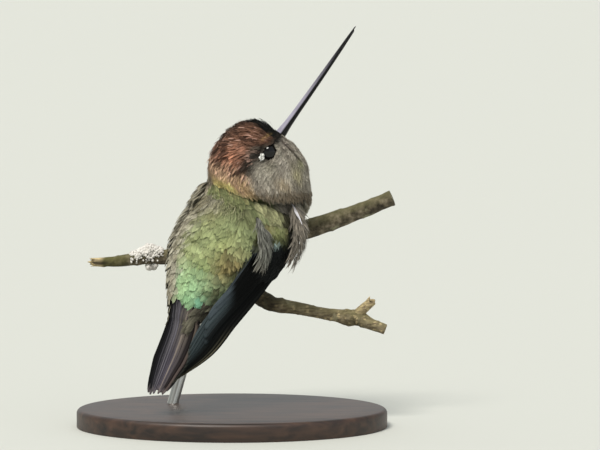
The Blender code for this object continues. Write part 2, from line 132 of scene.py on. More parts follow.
for name, away, width, strength, colour in SKY_LIGHTS:
    sky = bpy.data.lights.new(name, "SUN")
    sky.angle = math.radians(width)
    sky.energy = strength
    sky.color = linear(colour).tolist()
    lamp = bpy.data.objects.new(name, sky)
    lamp.location = away
    lamp.rotation_euler = (math.acos(away[2] / np.linalg.norm(away)), 0.0,
                           math.atan2(away[1], away[0]) + math.pi / 2)
    scene.collection.objects.link(lamp)

lens = bpy.data.cameras.new("camera")
lens.sensor_width = FILM_WIDTH
lens.lens = FILM_WIDTH * VIEW_DISTANCE / VIEW_WIDTH
lens.clip_start, lens.clip_end = VIEW_RANGE
camera = bpy.data.objects.new("camera", lens)
camera.location = (VIEW_TARGET[0], VIEW_TARGET[1] - VIEW_DISTANCE * math.cos(VIEW_HEIGHT),
                   VIEW_TARGET[2] + VIEW_DISTANCE * math.sin(VIEW_HEIGHT))
camera.rotation_euler = (math.pi / 2 - VIEW_HEIGHT, 0.0, 0.0)
scene.collection.objects.link(camera)
scene.camera = camera


# ---- Stand ------------------------------------------------------------------------------
# A small oval plinth turned from walnut, stained dark and waxed, that lies flat on the floor.
# A straight steel rod is glued into a bore in it and carries the perch.
MM = 0.001
BASE_LENGTH, BASE_DEPTH, BASE_HEIGHT = 84.0, 62.0, 5.0
BASE_BEVEL = 0.25                    # of its lower edge
BASE_ROUND = 1.2                     # radius of its upper edge
BASE_FLAT = 6.0                      # how far in from that edge the last ring lies
BASE_SIDES = 128


def grid_quads(rows, columns, wrap=False, start=0):
    """The quads of a grid of points; wrap joins the last column to the first."""
    index = np.arange(rows * columns).reshape(rows, columns) + start
    if wrap:
        index = np.concatenate([index, index[:, :1]], axis=1)
    corners = (index[:-1, :-1], index[:-1, 1:], index[1:, 1:], index[1:, :-1])
    return np.stack(corners, axis=-1).reshape(-1, 4)


def make_piece(name, points, quads, material, slot, stands_for=(), caps=(), layers=()):
    """One object from points in mm, quads and capping polygons, riding on the frame.

    layers maps a name to one value for each point: three or four numbers make a colour
    attribute, two numbers make a UV map.
    """
    points = np.asarray(points, float).reshape(-1, 3)
    corner = np.concatenate([np.asarray(quads).ravel()] + [np.asarray(cap).ravel() for cap in caps])
    sizes = np.concatenate([np.full(len(quads), 4)] + [[len(cap)] for cap in caps]).astype(int)
    mesh = bpy.data.meshes.new(name)
    mesh.vertices.add(len(points))
    mesh.vertices.foreach_set("co", (points * MM).ravel())
    mesh.loops.add(len(corner))
    mesh.loops.foreach_set("vertex_index", corner.astype(np.int32))
    mesh.polygons.add(len(sizes))
    mesh.polygons.foreach_set("loop_start", (np.cumsum(sizes) - sizes).astype(np.int32))
    mesh.update(calc_edges=True)
    for layer, values in dict(layers).items():
        values = np.asarray(values, float).reshape(len(points), -1)
        if values.shape[1] == 2:
            uv = mesh.uv_layers.new(name=layer)
            uv.data.foreach_set("uv", values[corner].ravel())
        else:
            colour = mesh.color_attributes.new(layer, "FLOAT_COLOR", "POINT")
            full = np.ones((len(points), 4))
            full[:, :values.shape[1]] = values
            colour.data.foreach_set("color", full.ravel())
    mesh.validate()
    mesh.shade_smooth()
    mesh.materials.append(material)
    item = bpy.data.objects.new(name, mesh)
    scene.collection.objects.link(item)
    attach(item, "root")
    if stands_for:
        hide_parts(*stands_for)
    return item


def noise(tree, scale, axes=None, **settings):
    """Noise over the object's own space in metres, its three axes stretched if given."""
    space = add_node(tree, "TexCoord").outputs["Object"]
    if axes:
        space = add_node(tree, "Mapping", inputs={"Vector": space, "Scale": axes}).outputs["Vector"]
    return add_node(tree, "TexNoise", inputs={
        "Vector": space, "Scale": scale, **settings}).outputs["Fac"]


def dress(tree, shader, colour, height, strength, depth, sunken=False):
    """Gives a shader its colour, a link or a hex colour, and dents of a depth in metres."""
    dent = add_node(tree, "Bump", {"invert": sunken},
                    {"Height": height, "Strength": strength, "Distance": depth})
    if isinstance(colour, str):
        shader.inputs["Base Color"].default_value = rgba(colour)
    else:
        tree.links.new(colour, shader.inputs["Base Color"])
    tree.links.new(dent.outputs["Normal"], shader.inputs["Normal"])


arc = np.linspace(0, np.pi / 2, 7)
inset = np.concatenate([[BASE_BEVEL, 0.0], BASE_ROUND * (1 - np.cos(arc)), [BASE_ROUND + BASE_FLAT]])
level = np.concatenate([[0.0, BASE_BEVEL], BASE_HEIGHT - BASE_ROUND * (1 - np.sin(arc)),
                        [BASE_HEIGHT]])
turn = np.linspace(0, 2 * np.pi, BASE_SIDES, endpoint=False)
base_points = np.stack([
    (BASE_LENGTH / 2 - inset[:, None]) * np.cos(turn),
    (BASE_DEPTH / 2 - inset[:, None]) * np.sin(turn),
    np.broadcast_to(level[:, None], (len(level), BASE_SIDES))], axis=-1)

# Walnut: straight grain 1.5 to 3 mm apart, dark pores, and wax that gives a soft gloss.
walnut, tree, shader = new_material("waxed_walnut", Roughness=0.5, Coat_Weight=0.1,
                                    Coat_Roughness=0.25)
rings = noise(tree, 1.0, (60.0, 420.0, 420.0), Detail=5.0, Distortion=0.6)
pores = noise(tree, 1.0, (400.0, 5000.0, 5000.0))
dress(tree, shader, ramp(tree, rings, (0.3, "1c1310"), (0.72, "4a3428")), pores, 0.15, 0.0002)

rows = len(inset)
make_piece("plinth", base_points, grid_quads(rows, BASE_SIDES, wrap=True), walnut, "base_wood",
           ["stand_base"], caps=[np.arange(BASE_SIDES)[::-1],
                                 np.arange(BASE_SIDES) + (rows - 1) * BASE_SIDES])

# Ground steel: fine rings of 0.2 mm left by the belt run round the rod.
steel, tree, shader = new_material("brushed_steel", Metallic=1.0, Roughness=0.3)
dress(tree, shader, "b9b9b6", noise(tree, 1.0, (200.0, 200.0, 5000.0)), 0.2, 0.0001)
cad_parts["stand_rod"].material_slots[0].material = steel


# ---- Perch ------------------------------------------------------------------------------
# A dead, lichened branch of a forest shrub with a thinner twig forked from it behind the bird.
# The bark is thin and ridged, the left end is broken to raw wood, and a spur is snapped off.
BRANCH = (  # x, y, z, radius, from the broken end to the cut end
    (-37.6, 16.4, 42.9, 1.15), (-32.4, 17.0, 43.0, 1.4), (-24.8, 17.7, 43.8, 1.75),
    (-17.8, 18.4, 44.2, 2.0), (-8.6, 19.4, 45.5, 2.35), (0.0, 19.6, 47.4, 2.4),
    (10.3, 19.6, 49.5, 2.5), (21.3, 18.9, 52.0, 2.65), (33.2, 17.4, 56.2, 2.2),
    (43.5, 16.5, 60.5, 2.05),
)
TWIG = (
    (-5.0, 19.5, 46.0, 1.9), (0.6, 19.1, 41.0, 2.0), (5.4, 18.1, 35.5, 2.2),
    (9.9, 16.6, 31.8, 2.2), (18.4, 14.6, 30.3, 1.65), (27.0, 13.4, 28.8, 1.6),
    (31.4, 12.8, 28.2, 2.2), (34.6, 12.4, 27.8, 2.1), (38.0, 11.9, 26.3, 1.55),
    (41.6, 11.4, 25.0, 1.45),
)
SPUR = ((33.2, 12.5, 28.3, 1.5), (35.6, 12.0, 30.5, 1.3), (38.0, 11.4, 32.9, 1.25))
STEM_SIDES = {"branch": 56, "twig": 48, "spur": 32}
BUD_SCAR_PITCH = 9.0
SPLINTER = 1.5                       # how far the splinters of the break stand out
HOLLOW_DEPTH = 3.0
HOLLOW_NARROWING = (0.3, 0.45, 0.55, 0.7, 0.9)       # shares of the way in to the middle
BORE_NARROWING, BORE_DEPTHS = (0.25, 0.4, 0.5, 0.7), (0.1, 0.8, 1.8, 2.4)
CALLUS, CALLUS_REACH = (33.5, 12.5, 28.2), 5.0       # knobbly greenish bark round the spur
KNOT, KNOT_REACH = (8.0, 17.0, 33.0), 7.5            # swollen bark under the fork, painted dark as its shadow


def smooth(rows, places):
    """A Catmull-Rom curve through the rows of a table, at places counted in rows."""
    rows = np.asarray(rows, float)
    places = np.asarray(places, float)
    last = len(rows) - 1
    start = np.clip(np.floor(places).astype(int), 0, last - 1)
    part = (places - start)[..., None]
    padded = np.vstack([2 * rows[0] - rows[1], rows, 2 * rows[-1] - rows[-2]])
    a, b, c, d = (padded[start + i] for i in range(4))
    cubic = (3 * b - a - 3 * c + d) * part ** 3 + (2 * a - 5 * b + 4 * c - d) * part ** 2
    return 0.5 * (cubic + (c - a) * part + 2 * b)


def unit(vectors):
    """The vectors at length one."""
    return vectors / np.maximum(np.linalg.norm(vectors, axis=-1, keepdims=True), 1e-9)


def waves(points, size, seed, count=14):
    """Smooth noise from -1 to 1: the mean of sine waves of about that size, in mm, in random
    directions and phases."""
    chance = np.random.default_rng(seed)
    points = np.asarray(points, float)
    heading = unit(chance.normal(size=(count, points.shape[-1])))
    rate = 2 * np.pi / (size * chance.uniform(0.6, 1.6, count))
    phase = chance.uniform(0, 2 * np.pi, count)
    return np.sin(points @ (heading * rate[:, None]).T + phase).mean(axis=-1) * 2.0


def between(value, start, end):
    """A smooth rise from 0 at start to 1 at end."""
    part = np.clip((value - start) / (end - start), 0, 1)
    return part * part * (3 - 2 * part)


def fading(value, start, end):
    """A smooth fall from 1 at start to 0 at end."""
    return between(-value, -end, -start)


def tube(rows, steps, sides):
    """Rings round a smooth path of (x, y, z, radius) rows: centre, outward direction, radius."""
    path = smooth(rows, np.linspace(0, len(rows) - 1, steps))
    along = unit(np.gradient(path[:, :3], axis=0))
    aside = unit(np.cross(along, (0.0, 1.0, 0.05)))
    over = np.cross(aside, along)
    angle = np.linspace(0, 2 * np.pi, sides, endpoint=False)
    outward = np.cos(angle)[:, None] * over[:, None] - np.sin(angle)[:, None] * aside[:, None]
    return path[:, None, :3], outward, path[:, None, 3:], along, angle


def barked(rows, steps, sides, seed):
    """A barked stem: ridges run along it, and rings of old bud scars go round it."""
    centre, outward, radius, along, angle = tube(rows, steps, sides)
    length = np.concatenate([[0], np.cumsum(np.linalg.norm(np.diff(centre[:, 0], axis=0), axis=1))])
    wrapped = np.stack(np.broadcast_arrays(
        length[:, None] * 0.35, radius[..., 0] * np.cos(angle), radius[..., 0] * np.sin(angle)), -1)
    ridge = waves(wrapped, 1.6, seed) * 0.10 + waves(wrapped, 0.8, seed + 1) * 0.06
    lumps = waves(centre + outward * radius, 7.0, seed + 2) * 0.12
    ring = np.mod(length[:, None] + 2 * np.sin(angle), BUD_SCAR_PITCH) - BUD_SCAR_PITCH / 2
    scars = 0.13 * np.exp(-(ring / 0.45) ** 2)
    return centre + outward * (radius + (ridge + lumps + scars)[..., None]), along, length, angle


def closed_tube(points):
    """The quads and the two caps of a stack of rings, for rings that turn outwards."""
    steps, sides = points.shape[:2]
    low = np.arange(sides)
    return grid_quads(steps, sides, wrap=True), [low[::-1], low + (steps - 1) * sides]


def joined(parts):
    """Many (points, quads, caps) as one set."""
    starts = np.cumsum([0] + [part[0].size // 3 for part in parts])
    return (np.concatenate([part[0].reshape(-1, 3) for part in parts]),
            np.concatenate([part[1] + start for part, start in zip(parts, starts)]),
            [cap + start for part, start in zip(parts, starts) for cap in part[2]])


def swollen(points, amount, size, seed):
    """A stem swollen outwards from its own middle by an amount, in lumps of a size."""
    outward = unit(points - points.mean(axis=1, keepdims=True))
    return points + outward * (0.35 * amount * waves(points, size, seed))[..., None]


def rescale(tree, value, low, high, to_low, to_high):
    """A value's range from low to high, moved to another range and held at its ends."""
    return add_node(tree, "MapRange", inputs={
        "Value": value, "From Min": low, "From Max": high, "To Min": to_low,
        "To Max": to_high}).outputs["Result"]


def blend(tree, share, first, second, kind="MIX"):
    """The first colour and the second, a link or a hex colour, by a share of the second."""
    second = rgba(second) if isinstance(second, str) else second
    return add_node(tree, "Mix", {"data_type": "RGBA", "blend_type": kind}, {
        "Factor": share, 6: first, 7: second}).outputs[2]


# Dead bark: matt, grey brown, with painted light that makes its upper side greener and lighter,
# dark furrows about 0.5 mm apart, pale spots, and fibrous raw wood where the bark is gone.
bark, tree, shader = new_material("weathered_bark", Roughness=0.85, Specular_IOR_Level=0.25)
marks = add_node(tree, "VertexColor", {"layer_name": "wood"})
bare, green, black = add_node(tree, "SeparateColor", inputs={"Color": marks.outputs["Color"]}).outputs
# Painted light: the bark turns a lighter olive the more its surface faces up.
facing = add_node(tree, "NewGeometry")
height = add_node(tree, "SeparateXYZ", inputs={"Vector": facing.outputs["Normal"]})
crust = noise(tree, 420.0, Detail=6.0, Roughness=0.65)
tone = ramp(tree, crust, (0.34, "241f19"), (0.7, "8d826f"), (0.52, "5c5444"))
tone = blend(tree, rescale(tree, height.outputs["Z"], -0.2, 0.9, 0.0, 0.55), tone, "6a6845")
spots = noise(tree, 260.0, Detail=4.0)
tone = blend(tree, rescale(tree, spots, 0.6, 0.68, 0.0, 0.6), tone, "98967a")
tone = blend(tree, green, tone, "545227")
fibres = noise(tree, 1.0, (300.0, 2400.0, 2400.0), Detail=3.0)
tone = blend(tree, bare, tone, ramp(tree, fibres, (0.35, "80705a"), (0.65, "d6c393")))
furrows = noise(tree, 1.0, (500.0, 2000.0, 1600.0), Detail=5.0, Roughness=0.7)
dress(tree, shader, blend(tree, black, tone, "120e0b"), furrows, 0.7, 0.0004)

branch, along, length, angle = barked(BRANCH, 300, STEM_SIDES["branch"], 11)
jag = SPLINTER * (0.5 + 0.5 * np.sin(7 * angle + 1.0) * np.cos(3 * angle) + 0.3 * np.cos(angle))
reach = np.exp(-length[:, None] / 1.2)
branch = branch - (reach * jag)[..., None] * along[0]
narrowing = np.array(HOLLOW_NARROWING)[:, None, None]
depth = HOLLOW_DEPTH * np.linspace(0.25, 1, len(narrowing))[:, None, None]
inner = branch[0] + (branch[0].mean(axis=0) - branch[0]) * narrowing + depth * along[0]
branch = np.concatenate([inner[::-1], branch])
behind = np.concatenate([-1 - np.arange(len(narrowing))[::-1], length])[:, None] + 0 * angle
# The wood's three marks: raw wood, green growth, and darkening. The darkening is painted shade deep
# in the hollow of the break, in the spur's bore and on the knot under the fork, plus a dark patch on
# the bark beside the break.
wood = np.stack([
    fading(behind, 1.0, 4.0 + 1.5 * np.cos(angle)),
    0.75 * fading(behind, 4, 13) * between(-np.cos(angle) + waves(branch, 4, 5), -0.4, 0.9),
    np.where(behind < 0, fading(behind, -3.5, -0.5), 0.85 * fading(behind, 1.0, 6.0)
             * np.exp(-((np.mod(angle, 2 * np.pi) - np.pi) / 0.55) ** 2))], axis=-1)
quads, caps = closed_tube(branch)
make_piece("branch", branch, quads, bark, "bark", ["perch_branch"], caps, {"wood": wood})

twig, along, length, _ = barked(TWIG, 260, STEM_SIDES["twig"], 21)
callus = fading(np.linalg.norm(twig - np.array(CALLUS), axis=-1), 1.5, CALLUS_REACH)
twig = swollen(twig, callus, 2.2, 31)
knob = fading(np.linalg.norm(twig - np.array(KNOT), axis=-1), 3.5, KNOT_REACH)
twig = swollen(twig, knob, 3.0, 32)
scars = between(waves(twig, 1.7, 34) + 0.4 * waves(twig, 0.8, 35), 0.35, 0.75)
raw = 0.24 + 0.6 * scars - 0.15 * callus * between(waves(twig, 2.0, 33), -0.6, 0.3)
# The knot's darkness is painted shadow under the fork.
twig_wood = np.stack([np.clip(raw, 0, 1), 0.3 * callus, 0.75 * knob], axis=-1)

spur, along, length, angle = barked(SPUR, 40, STEM_SIDES["spur"], 41)
jag = 0.5 * between(length[:, None], length[-1] - 1.2, length[-1]) * np.sin(3 * angle + 0.5)
spur = spur + jag[..., None] * along[-1]
narrowing, depth = (np.array(row)[:, None, None] for row in (BORE_NARROWING, BORE_DEPTHS))
bore = spur[-1] + (spur[-1].mean(axis=0) - spur[-1]) * narrowing - depth * along[-1]
spur = np.concatenate([spur, bore])
ring = np.arange(float(len(spur)))[:, None] + 0 * angle
# The rings deep in the spur's bore are darkened as painted shade.
spur_wood = np.stack([np.linspace(0.3, 1.0, len(spur))[:, None] + 0 * angle, 0.2 + 0 * ring,
                      between(ring, 39.5, 42)], -1)
points, quads, caps = joined([(twig, *closed_tube(twig)), (spur, *closed_tube(spur))])
wood = np.concatenate([twig_wood.reshape(-1, 3), spur_wood.reshape(-1, 3)])
make_piece("twig", points, quads, bark, "bark", ["perch_twig"], caps, {"wood": wood})


# ---- Lichen -----------------------------------------------------------------------------
# A chalky white crust lichen that has grown over the branch in small swollen lobes. It holds
# to the bark by its whole underside and crumbles at the edges.
LICHEN_RANGE = (1.6, 2.85)           # places along the branch
LOBES = 680
LOBE_RADIUS = (0.3, 0.68)
LOBES_UNDER = 0.13                   # the share of them on the underside


def ball_points(sides, rings):
    """A unit ball as rings from pole to pole, its poles closed by tiny rings."""
    fall = np.linspace(0.12, np.pi - 0.12, rings)
    turn = np.linspace(0, 2 * np.pi, sides, endpoint=False)
    return np.stack([np.sin(fall)[:, None] * np.cos(turn), np.sin(fall)[:, None] * np.sin(turn),
                     np.broadcast_to(np.cos(fall)[:, None], (rings, sides))], axis=-1)


def copies(quads, count, size):
    """The quads of many equal sets of points, each of that size."""
    return (quads[None] + (np.arange(count) * size)[:, None, None]).reshape(-1, 4)


def many_balls(centres, radii, sides=8, rings=6):
    """Lumpy balls as one set of points, quads and caps."""
    shape = ball_points(sides, rings).reshape(-1, 3)
    points = centres[:, None] + radii[:, None, None] * shape
    points = points + 0.22 * radii[:, None, None] * shape * waves(points, 0.5, 51)[..., None]
    quads = copies(grid_quads(rings, sides, wrap=True)[:, ::-1], len(centres), len(shape))
    low = np.arange(sides)
    caps = [cap + start for start in np.arange(len(centres)) * len(shape)
            for cap in (low, low[::-1] + (rings - 1) * sides)]
    return points.reshape(-1, 3), quads, caps


chance = np.random.default_rng(7)
where = chance.uniform(*LICHEN_RANGE, LOBES)
side = chance.normal(0.0, 0.75, LOBES)
under = chance.uniform(size=LOBES) < LOBES_UNDER
side = np.where(under, np.pi + chance.normal(0, 0.35, LOBES), side)
where = np.where(under, chance.uniform(2.2, 2.6, LOBES), where)
path = smooth(BRANCH, where)
outward = np.stack([0 * side, -np.sin(side), np.cos(side)], axis=-1)
swell = np.exp(-((where - 2.3) / 0.42) ** 2) * np.exp(-(np.where(under, 0.6, side) / 1.1) ** 2)
radii = chance.uniform(*LOBE_RADIUS, LOBES) * (0.6 + 0.5 * swell)
lift = path[:, 3] + chance.uniform(0.1, 1.0, LOBES) * (0.25 + 1.45 * swell)
lobes, quads, caps = many_balls(path[:, :3] + lift[:, None] * outward, radii)
chalk, tree, shader = new_material("crust_lichen", Roughness=0.95, Specular_IOR_Level=0.15)
powder = noise(tree, 1300.0, Detail=4.0)
dress(tree, shader, ramp(tree, powder, (0.3, "a9a5a0"), (0.52, "e0ddd8")), powder, 0.5, 0.0002)
make_piece("lichen_crust", lobes, quads, chalk, "lichen", ["perch_lichen"], caps)


# ---- Skin -------------------------------------------------------------------------------
# The bird's skin with the short grey down that grows on it, one closed form from the tail to
# the bill. It lies under the feathers by their depth and carries the same markings.
SPINE = (  # x, y, z, lean above +X, slope away from -Y, roll, reach back, front, side
    (-20.2, -15.7, 10.3, 70, 17, 28, 0.5, 0.5, 2.6),      # 0 tail tip
    (-16.5, -12.6, 19.5, 69, 19, 28, 0.6, 0.6, 4.4),      # 1 tail middle
    (-13.0, -8.8, 29.4, 65, 22, 28, 2.3, 2.3, 4.0),       # 2 tail root
    (-11.3, -7.0, 33.6, 61, 23, 28, 4.8, 5.0, 5.8),       # 3 vent
    (-7.8, -4.0, 39.5, 59, 23, 28, 8.8, 9.4, 10.2),       # 4 rump
    (-4.1, -0.5, 45.4, 59, 23, 28, 11.2, 12.0, 12.7),     # 5 belly
    (-0.3, 2.0, 51.1, 60, 20, 28, 11.8, 12.8, 13.5),      # 6 middle of the back
    (3.0, 4.0, 56.6, 63, 13, 33, 11.4, 13.4, 13.5),       # 7 breast
    (5.1, 5.0, 61.1, 67, 6, 46, 11.6, 15.7, 13.4),        # 8 collar
    (6.5, 4.5, 65.5, 70, 1, 62, 13.5, 16.2, 12.8),        # 9 neck
    (7.8, 4.0, 70.2, 68, 0, 74, 13.2, 14.4, 11.3),        # 10 ear
    (9.5, 3.5, 74.3, 62, 2, 78, 11.5, 12.6, 9.6),         # 11 eye
    (11.3, 3.0, 77.1, 56, 4, 78, 9.2, 10.6, 7.2),         # 12 lores
    (12.6, 3.0, 78.6, 54, 5, 78, 5.9, 6.6, 4.6),          # 13 gape
    (13.4, 3.0, 79.5, 54, 5, 78, 1.9, 1.9, 1.9),          # 14 bill base
)
TAIL_ROOT, BILL_BASE = 2.0, 14.0
EYE_RADIUS = 2.35
EYE_PLACE = (11.15, 7.55, 1.5)       # spine place, to the side, to the back
PATCH = 0.003                        # size of a feather's patch on the bake map
DEG = np.pi / 180
HIP_OFFSET = (-1.2, -3.4, 1.6)       # from ankle to the top of the leg
LEG_RADII = (1.6, 1.2, 0.45)         # at the belly, the middle and the ankle
FOOT_PLACES = {"left": 5.15, "right": 5.85}   # places along the branch
WING_EDGES = {
    "right": (
        ((8.0, 12.3, -5.2), (6.35, 16.0, -3.3), (4.8, 16.3, -1.4), (3.05, 14.4, -1.1),
         (1.4, 11.0, -0.4), (0.38, 4.2, 2.7)),
        ((6.85, 11.0, 9.3), (5.25, 11.7, 8.1), (3.9, 10.3, 5.0), (2.05, 7.2, 3.8),
         (1.24, 5.3, 3.9), (0.45, 3.6, 3.4)),
    ),
    "left": (
        ((7.7, -11.4, -6.6), (6.3, -13.4, -6.8), (4.9, -12.0, -6.4), (3.4, -6.6, -5.0),
         (1.6, -3.2, -3.4), (0.45, -1.4, -2.3)),
        ((6.6, -11.3, 7.0), (5.3, -11.4, 5.0), (4.0, -8.8, 2.0), (2.6, -4.6, -1.1),
         (1.4, -3.2, -1.8), (0.5, -2.2, -2.0)),
    ),
}
COVERTS_END = 0.30                   # the share of the folded wing's length that they cover
COVERTS_RISE = 2.0
SIDES = {"right": 1, "left": -1}     # the sign of each side


def spine_frame(places):
    """The spine's point, its direction, and the directions to the back and the right side."""
    rows = smooth(SPINE, places)
    lean, away, roll = (np.radians(rows[..., i]) for i in (3, 4, 5))
    along = np.stack([np.cos(lean) * np.cos(away), np.sin(away), np.sin(lean) * np.cos(away)], -1)
    near = np.zeros_like(along)
    near[..., 1] = -1.0
    near = unit(near - np.sum(near * along, -1)[..., None] * along)
    across = np.cross(along, near)
    turn, rest = np.cos(roll)[..., None], np.sin(roll)[..., None]
    return rows[..., :3], along, turn * near - rest * across, turn * across + rest * near


RIGHT_OUT = spine_frame(np.float64(5.0))[3]          # to the bird's right, at the belly


def bird_point(rows):
    """Points given as (spine place, to the right, to the back)."""
    rows = np.asarray(rows, float)
    centre, _, back, right = spine_frame(rows[..., 0])
    return centre + rows[..., 1:2] * right + rows[..., 2:3] * back


def edge_surface(edges, share, across):
    """Points at a share of the wing's length and a fraction of the way between its edges."""
    lead, trail = (bird_point(np.asarray(edge, float)) for edge in edges)
    place = share * (len(lead) - 1)
    return (1 - across)[..., None] * smooth(lead, place) + across[..., None] * smooth(trail, place)


def arm_point(side, length, width, height):
    """The domed surface of the coverts over the folded arm: length runs from their end (0) to
    the shoulder (1) and width from the trailing side (-1) to the leading side (1)."""
    share = (1 - length) * COVERTS_END
    dome = COVERTS_RISE * np.cos(width * np.pi / 2) * np.sin(np.pi * (0.2 + 0.6 * (1 - length)))
    out = RIGHT_OUT * SIDES[side]
    surface = edge_surface(WING_EDGES[side], share, 0.52 - 0.5 * width)
    return surface + (height + dome)[..., None] * out


def ankle_point(side):
    """Where a leg ends over the branch."""
    row = smooth(BRANCH, np.float64(FOOT_PLACES[side]))
    return row[:3] + np.array([0.0, -0.6, row[3] + 1.0])


def leg_rows(side, thickness=0.0):
    """The leg as (x, y, z, radius) rows from the belly down to the ankle."""
    ankle = ankle_point(side)
    hip = ankle + np.array(HIP_OFFSET)
    knee = 0.5 * (hip + ankle) + (0, 0, 0.3)
    return [(*point, radius + thickness) for point, radius in zip((hip, knee, ankle), LEG_RADII)]


def plumage_point(place, turn):
    """The outline of the plumage: half ellipses round the spine, one for back, one for front."""
    centre, _, back, right = spine_frame(place)
    to_back, to_front, to_side = (smooth(SPINE, place)[..., i] for i in (6, 7, 8))
    depth = np.where(np.cos(turn) > 0, to_back, to_front) * np.cos(turn)
    return centre + depth[..., None] * back + (to_side * np.sin(turn))[..., None] * right


def make_chart(point_at, first, last, steps, soften=0):
    """A table of a surface over two parameters: point, direction of each, and outward normal.
    Softening averages each point with that many neighbours along the first parameter."""
    a, b = np.meshgrid(np.linspace(first[0], last[0], steps[0]),
                       np.linspace(first[1], last[1], steps[1]), indexing="ij")
    point = point_at(a, b)
    if soften:
        weight = np.hanning(2 * soften + 3)[1:-1]
        padded = np.pad(point, ((soften, soften), (0, 0), (0, 0)), "reflect", reflect_type="odd")
        point = sum(w * padded[i:i + len(point)] for i, w in enumerate(weight / weight.sum()))
    ahead = np.gradient(point, axis=0) / ((last[0] - first[0]) / (steps[0] - 1))
    aside = np.gradient(point, axis=1) / ((last[1] - first[1]) / (steps[1] - 1))
    outward = unit(np.cross(aside, ahead))
    table = np.concatenate([point, ahead, aside, outward], axis=-1)
    return {"table": table, "first": np.array(first, float), "last": np.array(last, float)}


def read_chart(chart, a, b):
    """The chart's point, two directions and normal at any places, read between its rows."""
    table = chart["table"]
    span = np.array(table.shape[:2]) - 1
    u = np.clip((a - chart["first"][0]) / (chart["last"][0] - chart["first"][0]), 0, 1) * span[0]
    v = np.clip((b - chart["first"][1]) / (chart["last"][1] - chart["first"][1]), 0, 1) * span[1]
    i = np.minimum(u.astype(int), span[0] - 1)
    j = np.minimum(v.astype(int), span[1] - 1)
    u, v = (u - i)[..., None], (v - j)[..., None]
    value = (table[i, j] * (1 - u) * (1 - v) + table[i + 1, j] * u * (1 - v)
             + table[i, j + 1] * (1 - u) * v + table[i + 1, j + 1] * u * v)
    return value[..., :3], value[..., 3:6], value[..., 6:9], unit(value[..., 9:12])


def face_out(chart, out):
    """Turns a chart's normals to the side that the direction out points to."""
    table = chart["table"]
    if np.sum(table[table.shape[0] // 2, table.shape[1] // 2, 9:12] * out) < 0:
        table[..., 9:12] *= -1
    return chart
body_chart = make_chart(plumage_point, (TAIL_ROOT, -np.pi - 0.8), (BILL_BASE, np.pi + 0.8),
                        (500, 260), soften=18)


def off_back(turn):
    """Degrees from the middle of the back, from -180 to 180, the bird's right side positive."""
    return np.mod(turn / DEG + 180, 360) - 180


def collar_place(turn):
    """Where along the spine the head's plumage ends in a fold over the back and shoulder."""
    return 7.65 + 0.0115 * np.clip(turn / DEG, -40, 130)


def crease(place, turn):
    """How deep the plumage is pressed in below that fold, from 0 to 1: on the right side only,
    fading out over the middle of the back and over the throat."""
    fold = np.exp(-((place - collar_place(turn) + 0.25) / 0.32) ** 2)
    return fold * between(turn / DEG, 0, 32) * fading(turn / DEG, 115, 150)


def coat_depth(place, turn):
    """Millimetres from the skin to the outline of the plumage."""
    return 0.55 + 0.75 * fading(place, 8.5, 12.5) + 0.6 * crease(place, turn)


def mix(first, second, share):
    """Two colours blended by a share for each point."""
    return first + (second - first) * np.asarray(share)[..., None]


def tinge(colour, tone, share):
    """A colour blended by a share with a tone given in hex."""
    return mix(colour, linear(tone), share)


def tones(first, second, value, low, high):
    """The first hex tone where a value is low, passing into the second where it is high."""
    return mix(linear(first), linear(second), between(value, low, high))


def spot(place, turn, middle, reach):
    """A soft oval spot: 1 at its middle, fading over reach = (spine places, degrees)."""
    off = np.mod(turn / DEG - middle[1] + 180, 360) - 180
    return np.exp(-((place - middle[0]) / reach[0]) ** 2 - (off / reach[1]) ** 2)


def spotted(colour, place, turn, spots):
    """A colour with soft spots laid on in turn, each (hex tone, share, middle, reach)."""
    for tone, share, middle, reach in spots:
        colour = tinge(colour, tone, share * spot(place, turn, middle, reach))
    return colour


RUMP_SPOTS = (
    ("a6b279", 0.6, (5.05, 20), (0.5, 13)), ("66794a", 0.6, (4.1, 18), (0.25, 8)),
    ("736b50", 0.5, (6.2, -10), (0.8, 12)), ("a3c796", 0.7, (3.3, 6), (0.4, 17)),
    ("42573b", 0.85, (3.4, 38), (0.2, 14)), ("5d8258", 0.6, (2.95, 14), (0.18, 20)),
    ("5f987f", 0.85, (3.02, 38), (0.12, 8)))
# The first of these spots, near black, is painted shade in the gap between the rump and the folded
# right wing.
FLANK_SPOTS = (
    ("2d2d1f", 0.8, (3.65, 54), (0.35, 8)), ("727a55", 0.6, (5.5, 2), (0.5, 12)),
    ("73613f", 0.8, (4.5, 42), (0.75, 22)))
THROAT_SPOTS = (
    ("bdab8e", 0.8, (9.62, 103), (0.3, 9)), ("b4aea0", 0.8, (9.95, 80), (0.4, 12)),
    ("b6aea2", 0.8, (10.75, 106), (0.5, 11)), ("b3a69c", 0.8, (12.5, 99), (0.3, 12)),
    ("a29a72", 0.7, (10.5, 127), (0.5, 9)), ("8d8f62", 0.6, (11.45, 134), (0.45, 9)),
    ("7a7667", 0.7, (10.4, 88), (0.3, 8)))


